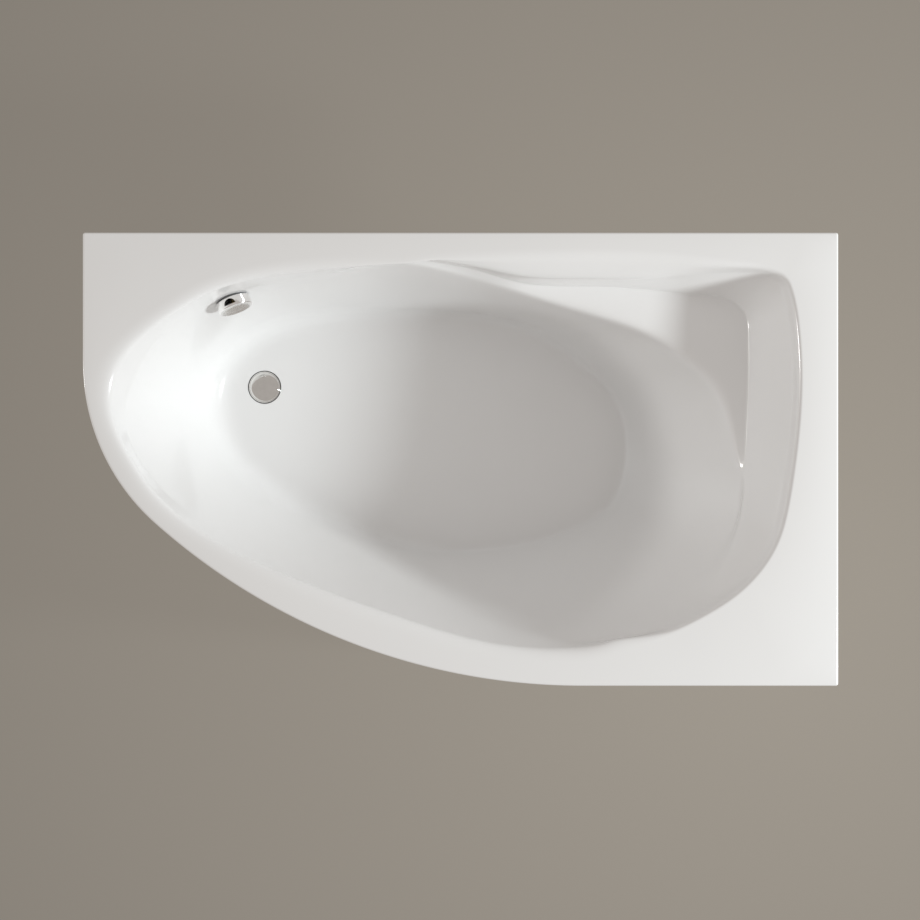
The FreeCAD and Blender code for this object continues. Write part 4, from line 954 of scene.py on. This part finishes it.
def strainer(name):
    """Flange, threaded barrel and the cross that guides the plug's stem."""
    foot = FLANGE_Z - BARREL_LONG
    root = BARREL_R - THREAD_DEEP
    points = [(foot, FLANGE_BORE), (foot, root)] + thread(foot, FLANGE_Z - 0.004, BARREL_R)
    points += [(FLANGE_Z, root), (FLANGE_Z, FLANGE_R - 0.0003), (FLANGE_Z + 0.0003, FLANGE_R),
               (FLANGE_Z + 0.0011, FLANGE_R), (FLANGE_Z + 0.0019, FLANGE_R - 0.0006),
               (FLANGE_TOP, FLANGE_R - 0.0018), (FLANGE_TOP - 0.0001, FLANGE_BORE + 0.006),
               (FLANGE_TOP - 0.0012, FLANGE_BORE + 0.0012), (FLANGE_TOP - 0.003, FLANGE_BORE),
               (foot, FLANGE_BORE)]
    obj = lathe(name, points, AT_DRAIN, UP, 96, 35)
    low = FLANGE_Z - WEB_DROP
    hub_low = low - 0.002
    hub_high = low + WEB_THICK + 0.002
    bore = STEM_R + 0.0001
    ring = lathe(name + "_hub", [(hub_low, bore), (hub_low, HUB_R), (hub_high, HUB_R), (hub_high, bore),
                                 (hub_low, bore)], AT_DRAIN, UP, 32)
    bm = bmesh.new()
    bm.from_mesh(obj.data)
    bm.from_mesh(ring.data)
    for quarter in range(4):
        a = math.pi / 2 * quarter
        way = Vector((math.cos(a), math.sin(a), 0))
        side = Vector((-way.y, way.x, 0)) * (WEB_WIDE / 2)
        corners = []
        for reach in (HUB_R - 0.0005, FLANGE_BORE + 0.0005):
            for across in (-1, 1):
                for z in (low, low + WEB_THICK):
                    corners.append(bm.verts.new(Vector((DRAIN_X, DRAIN_Y, z)) + way * reach + side * across))
        for loop in ((0, 1, 3, 2), (4, 6, 7, 5), (0, 4, 5, 1), (2, 3, 7, 6), (1, 5, 7, 3), (0, 2, 6, 4)):
            bm.faces.new([corners[i] for i in loop])
    bm.to_mesh(obj.data)
    bm.free()
    bpy.data.objects.remove(ring)
    return obj


def plug(name):
    """Domed cap with a rolled edge, and the neck that carries the seal."""
    neck = CAP_Z - NECK_LONG
    points = [(neck, 0), (neck, PLUG_NECK - 0.0006), (neck + 0.0006, PLUG_NECK), (CAP_Z, PLUG_NECK),
              (CAP_Z, PLUG_R - 0.0007), (CAP_Z + 0.0005, PLUG_R - 0.0001), (CAP_Z + 0.0011, PLUG_R),
              (CAP_Z + 0.0017, PLUG_R - 0.0003), (CAP_Z + 0.0021, PLUG_R - 0.001)]
    for i in range(1, 13):
        share = 1 - i / 12
        points.append((CAP_Z + PLUG_EDGE + PLUG_DOME * (1 - share ** 2), (PLUG_R - 0.0014) * share))
    return lathe(name, points, AT_DRAIN, UP, 96, 35)


dress(strainer("drain_strainer"), "tub", CHROME, "chrome", "waste_flange")
dress(plug("drain_plug"), "plug", CHROME, "chrome", "waste_plug")


# ---------------------------------------------------------------- overflow
def half_moon(name, reach):
    """Cutter for the knob's inlet: half a disc, pushed down through the rim of the knob."""
    flat = []
    for i in range(25):
        a = math.pi * i / 24
        flat.append((INLET_TO - INLET_R * math.sin(a), INLET_ASIDE + INLET_R * math.cos(a)))
    verts = [overflow(along, up, across) for up in reach for along, across in flat]
    count = len(flat)
    faces = bridge(0, count, count) + [tuple(range(count)), tuple(range(2 * count - 1, count - 1, -1))]
    obj = new_object(name, verts, faces)
    tidy_normals(obj)
    return obj


def knob(name):
    """Turned cup with a rolled front edge, hollow behind, and its water inlet."""
    points = [(KNOB_OUT - KNOB_SKIN, 0), (KNOB_OUT - KNOB_SKIN, KNOB_R - KNOB_SKIN),
              (KNOB_IN, KNOB_R - KNOB_SKIN), (KNOB_IN, KNOB_R - 0.0008), (KNOB_IN + 0.0008, KNOB_R)]
    for i in range(9):
        a = math.radians(90 * i / 8)
        points.append((KNOB_OUT - KNOB_EDGE * (1 - math.sin(a)), KNOB_R - KNOB_EDGE * (1 - math.cos(a))))
    points += [(KNOB_OUT - 0.0002, KNOB_R * 0.5), (KNOB_OUT - 0.0004, 0)]
    obj = lathe(name, points, SPOT, INTO, 128, 35)
    cut_away(obj, half_moon("inlet_cutter", (KNOB_R - 0.011, KNOB_R + 0.010)))
    sharpen(obj, 35)
    return obj


dress(knob("turning_knob"), "knob", KNOB_CHROME, "chrome", "overflow_knob")


# ---------------------------------------------------------------- feet
def threaded_rod(name, x, y, low, high):
    """Rod with a thread and a chamfered top."""
    root = ROD_R - THREAD_DEEP
    points = [(low, 0), (low, root)] + thread(low, high - 2 * THREAD_PITCH, ROD_R)
    points += [(high - 0.0015, root), (high, ROD_R - 0.002), (high, 0)]
    return lathe(name, points, (x, y, 0), UP, 20, 80)


for number, (x, y) in enumerate(FEET, 1):
    node = "foot_rod_%d" % number
    low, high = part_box(node)
    rod = threaded_rod("threaded_rod_%d" % number, x, y, low[2], high[2])
    dress(rod, "foot_%d" % number, STEEL, "steel", node)


# ---------------------------------------------------------------- floor and light
# Painted light: the floor's glow is strongest round this spot and fades outwards, a painted pool of light
# rather than a lamp's.
PAINTED_POOL_CENTRE = (0.69, -0.26, 0.0)       # where the floor looks brightest
PAINTED_POOL_REACH = (0.20, 2.20)
PAINTED_POOL_FALL = (1.0, 0.655)
GLOW_SHARE = 0.85                      # the rest of the floor's tone takes the shadow
FLOOR_TONE = (0.352, 0.318, 0.274, 1)
FLOOR_MATTE = (0.55, 0.53, 0.50, 1)
FLOOR_REACH = 9.0
FLOOR_DROP = 0.0004                    # the floor lies this far under the pads
SKY_TONE = (1.0, 0.940, 0.893, 1)
SKY_STRENGTH = 0.48


def floor_material():
    """Warm tone to the camera, in reflections and through clear things, with a painted pool of light that is
    brightest round one spot and dims away from it; keeps a soft shadow.
    """
    mat = bpy.data.materials.new("studio_floor")
    mat.use_nodes = True
    nodes = mat.node_tree.nodes
    links = mat.node_tree.links
    nodes.clear()
    out = nodes.new("ShaderNodeOutputMaterial")
    matte = nodes.new("ShaderNodeBsdfDiffuse")
    matte.inputs["Color"].default_value = FLOOR_MATTE
    shown = nodes.new("ShaderNodeBsdfDiffuse")
    shown.inputs["Color"].default_value = FLOOR_TONE
    # Painted pool of light: this glow's strength falls with the distance from the pool's centre.
    painted_pool_glow = nodes.new("ShaderNodeEmission")
    painted_pool_glow.inputs["Color"].default_value = FLOOR_TONE
    place = nodes.new("ShaderNodeNewGeometry")
    away = nodes.new("ShaderNodeVectorMath")
    away.operation = "DISTANCE"
    away.inputs[1].default_value = PAINTED_POOL_CENTRE
    fall = nodes.new("ShaderNodeMapRange")
    fall.inputs["From Min"].default_value = PAINTED_POOL_REACH[0]
    fall.inputs["From Max"].default_value = PAINTED_POOL_REACH[1]
    fall.inputs["To Min"].default_value = PAINTED_POOL_FALL[0]
    fall.inputs["To Max"].default_value = PAINTED_POOL_FALL[1]
    links.new(place.outputs["Position"], away.inputs[0])
    links.new(away.outputs["Value"], fall.inputs["Value"])
    links.new(fall.outputs["Result"], painted_pool_glow.inputs["Strength"])
    blend = nodes.new("ShaderNodeMixShader")
    blend.inputs["Fac"].default_value = GLOW_SHARE
    links.new(shown.outputs["BSDF"], blend.inputs[1])
    links.new(painted_pool_glow.outputs["Emission"], blend.inputs[2])
    path = nodes.new("ShaderNodeLightPath")
    glossy = nodes.new("ShaderNodeMath")
    glossy.operation = "MAXIMUM"
    links.new(path.outputs["Is Camera Ray"], glossy.inputs[0])
    links.new(path.outputs["Is Glossy Ray"], glossy.inputs[1])
    seen = nodes.new("ShaderNodeMath")
    seen.operation = "MAXIMUM"
    links.new(glossy.outputs["Value"], seen.inputs[0])
    links.new(path.outputs["Is Transmission Ray"], seen.inputs[1])
    choose = nodes.new("ShaderNodeMixShader")
    links.new(seen.outputs["Value"], choose.inputs["Fac"])
    links.new(matte.outputs["BSDF"], choose.inputs[1])
    links.new(blend.outputs["Shader"], choose.inputs[2])
    links.new(choose.outputs["Shader"], out.inputs["Surface"])
    return mat


corners = [(x * FLOOR_REACH, y * FLOOR_REACH, -FLOOR_DROP) for x, y in ((-1, -1), (1, -1), (1, 1), (-1, 1))]
ground = new_object("studio_floor", corners, [(0, 1, 2, 3)], smooth=False)
ground.data.materials.append(floor_material())

world = bpy.data.worlds.new("studio")
bpy.context.scene.world = world
world.use_nodes = True
sky = world.node_tree.nodes["Background"]
sky.inputs["Color"].default_value = SKY_TONE
sky.inputs["Strength"].default_value = SKY_STRENGTH


def lamp(name, place, target, size, power, colour):
    """Round soft lamp, turned towards its target."""
    light = bpy.data.lights.new(name, "AREA")
    light.shape = "DISK"
    light.size = size
    light.energy = power
    light.color = colour
    obj = bpy.data.objects.new(name, light)
    bpy.context.scene.collection.objects.link(obj)
    obj.location = place
    obj.rotation_euler = (Vector(target) - Vector(place)).to_track_quat("-Z", "Y").to_euler()


lamp("key_light", (4.68, -0.876, 2.535), (0, 0, 0.45), size=0.60, power=212.0, colour=(0.935, 0.985, 1.0))
lamp("fill_light", (-6.0, 0.0, 2.1), (0, 0, 0.4), size=0.60, power=62.0, colour=(1.0, 0.985, 0.965))
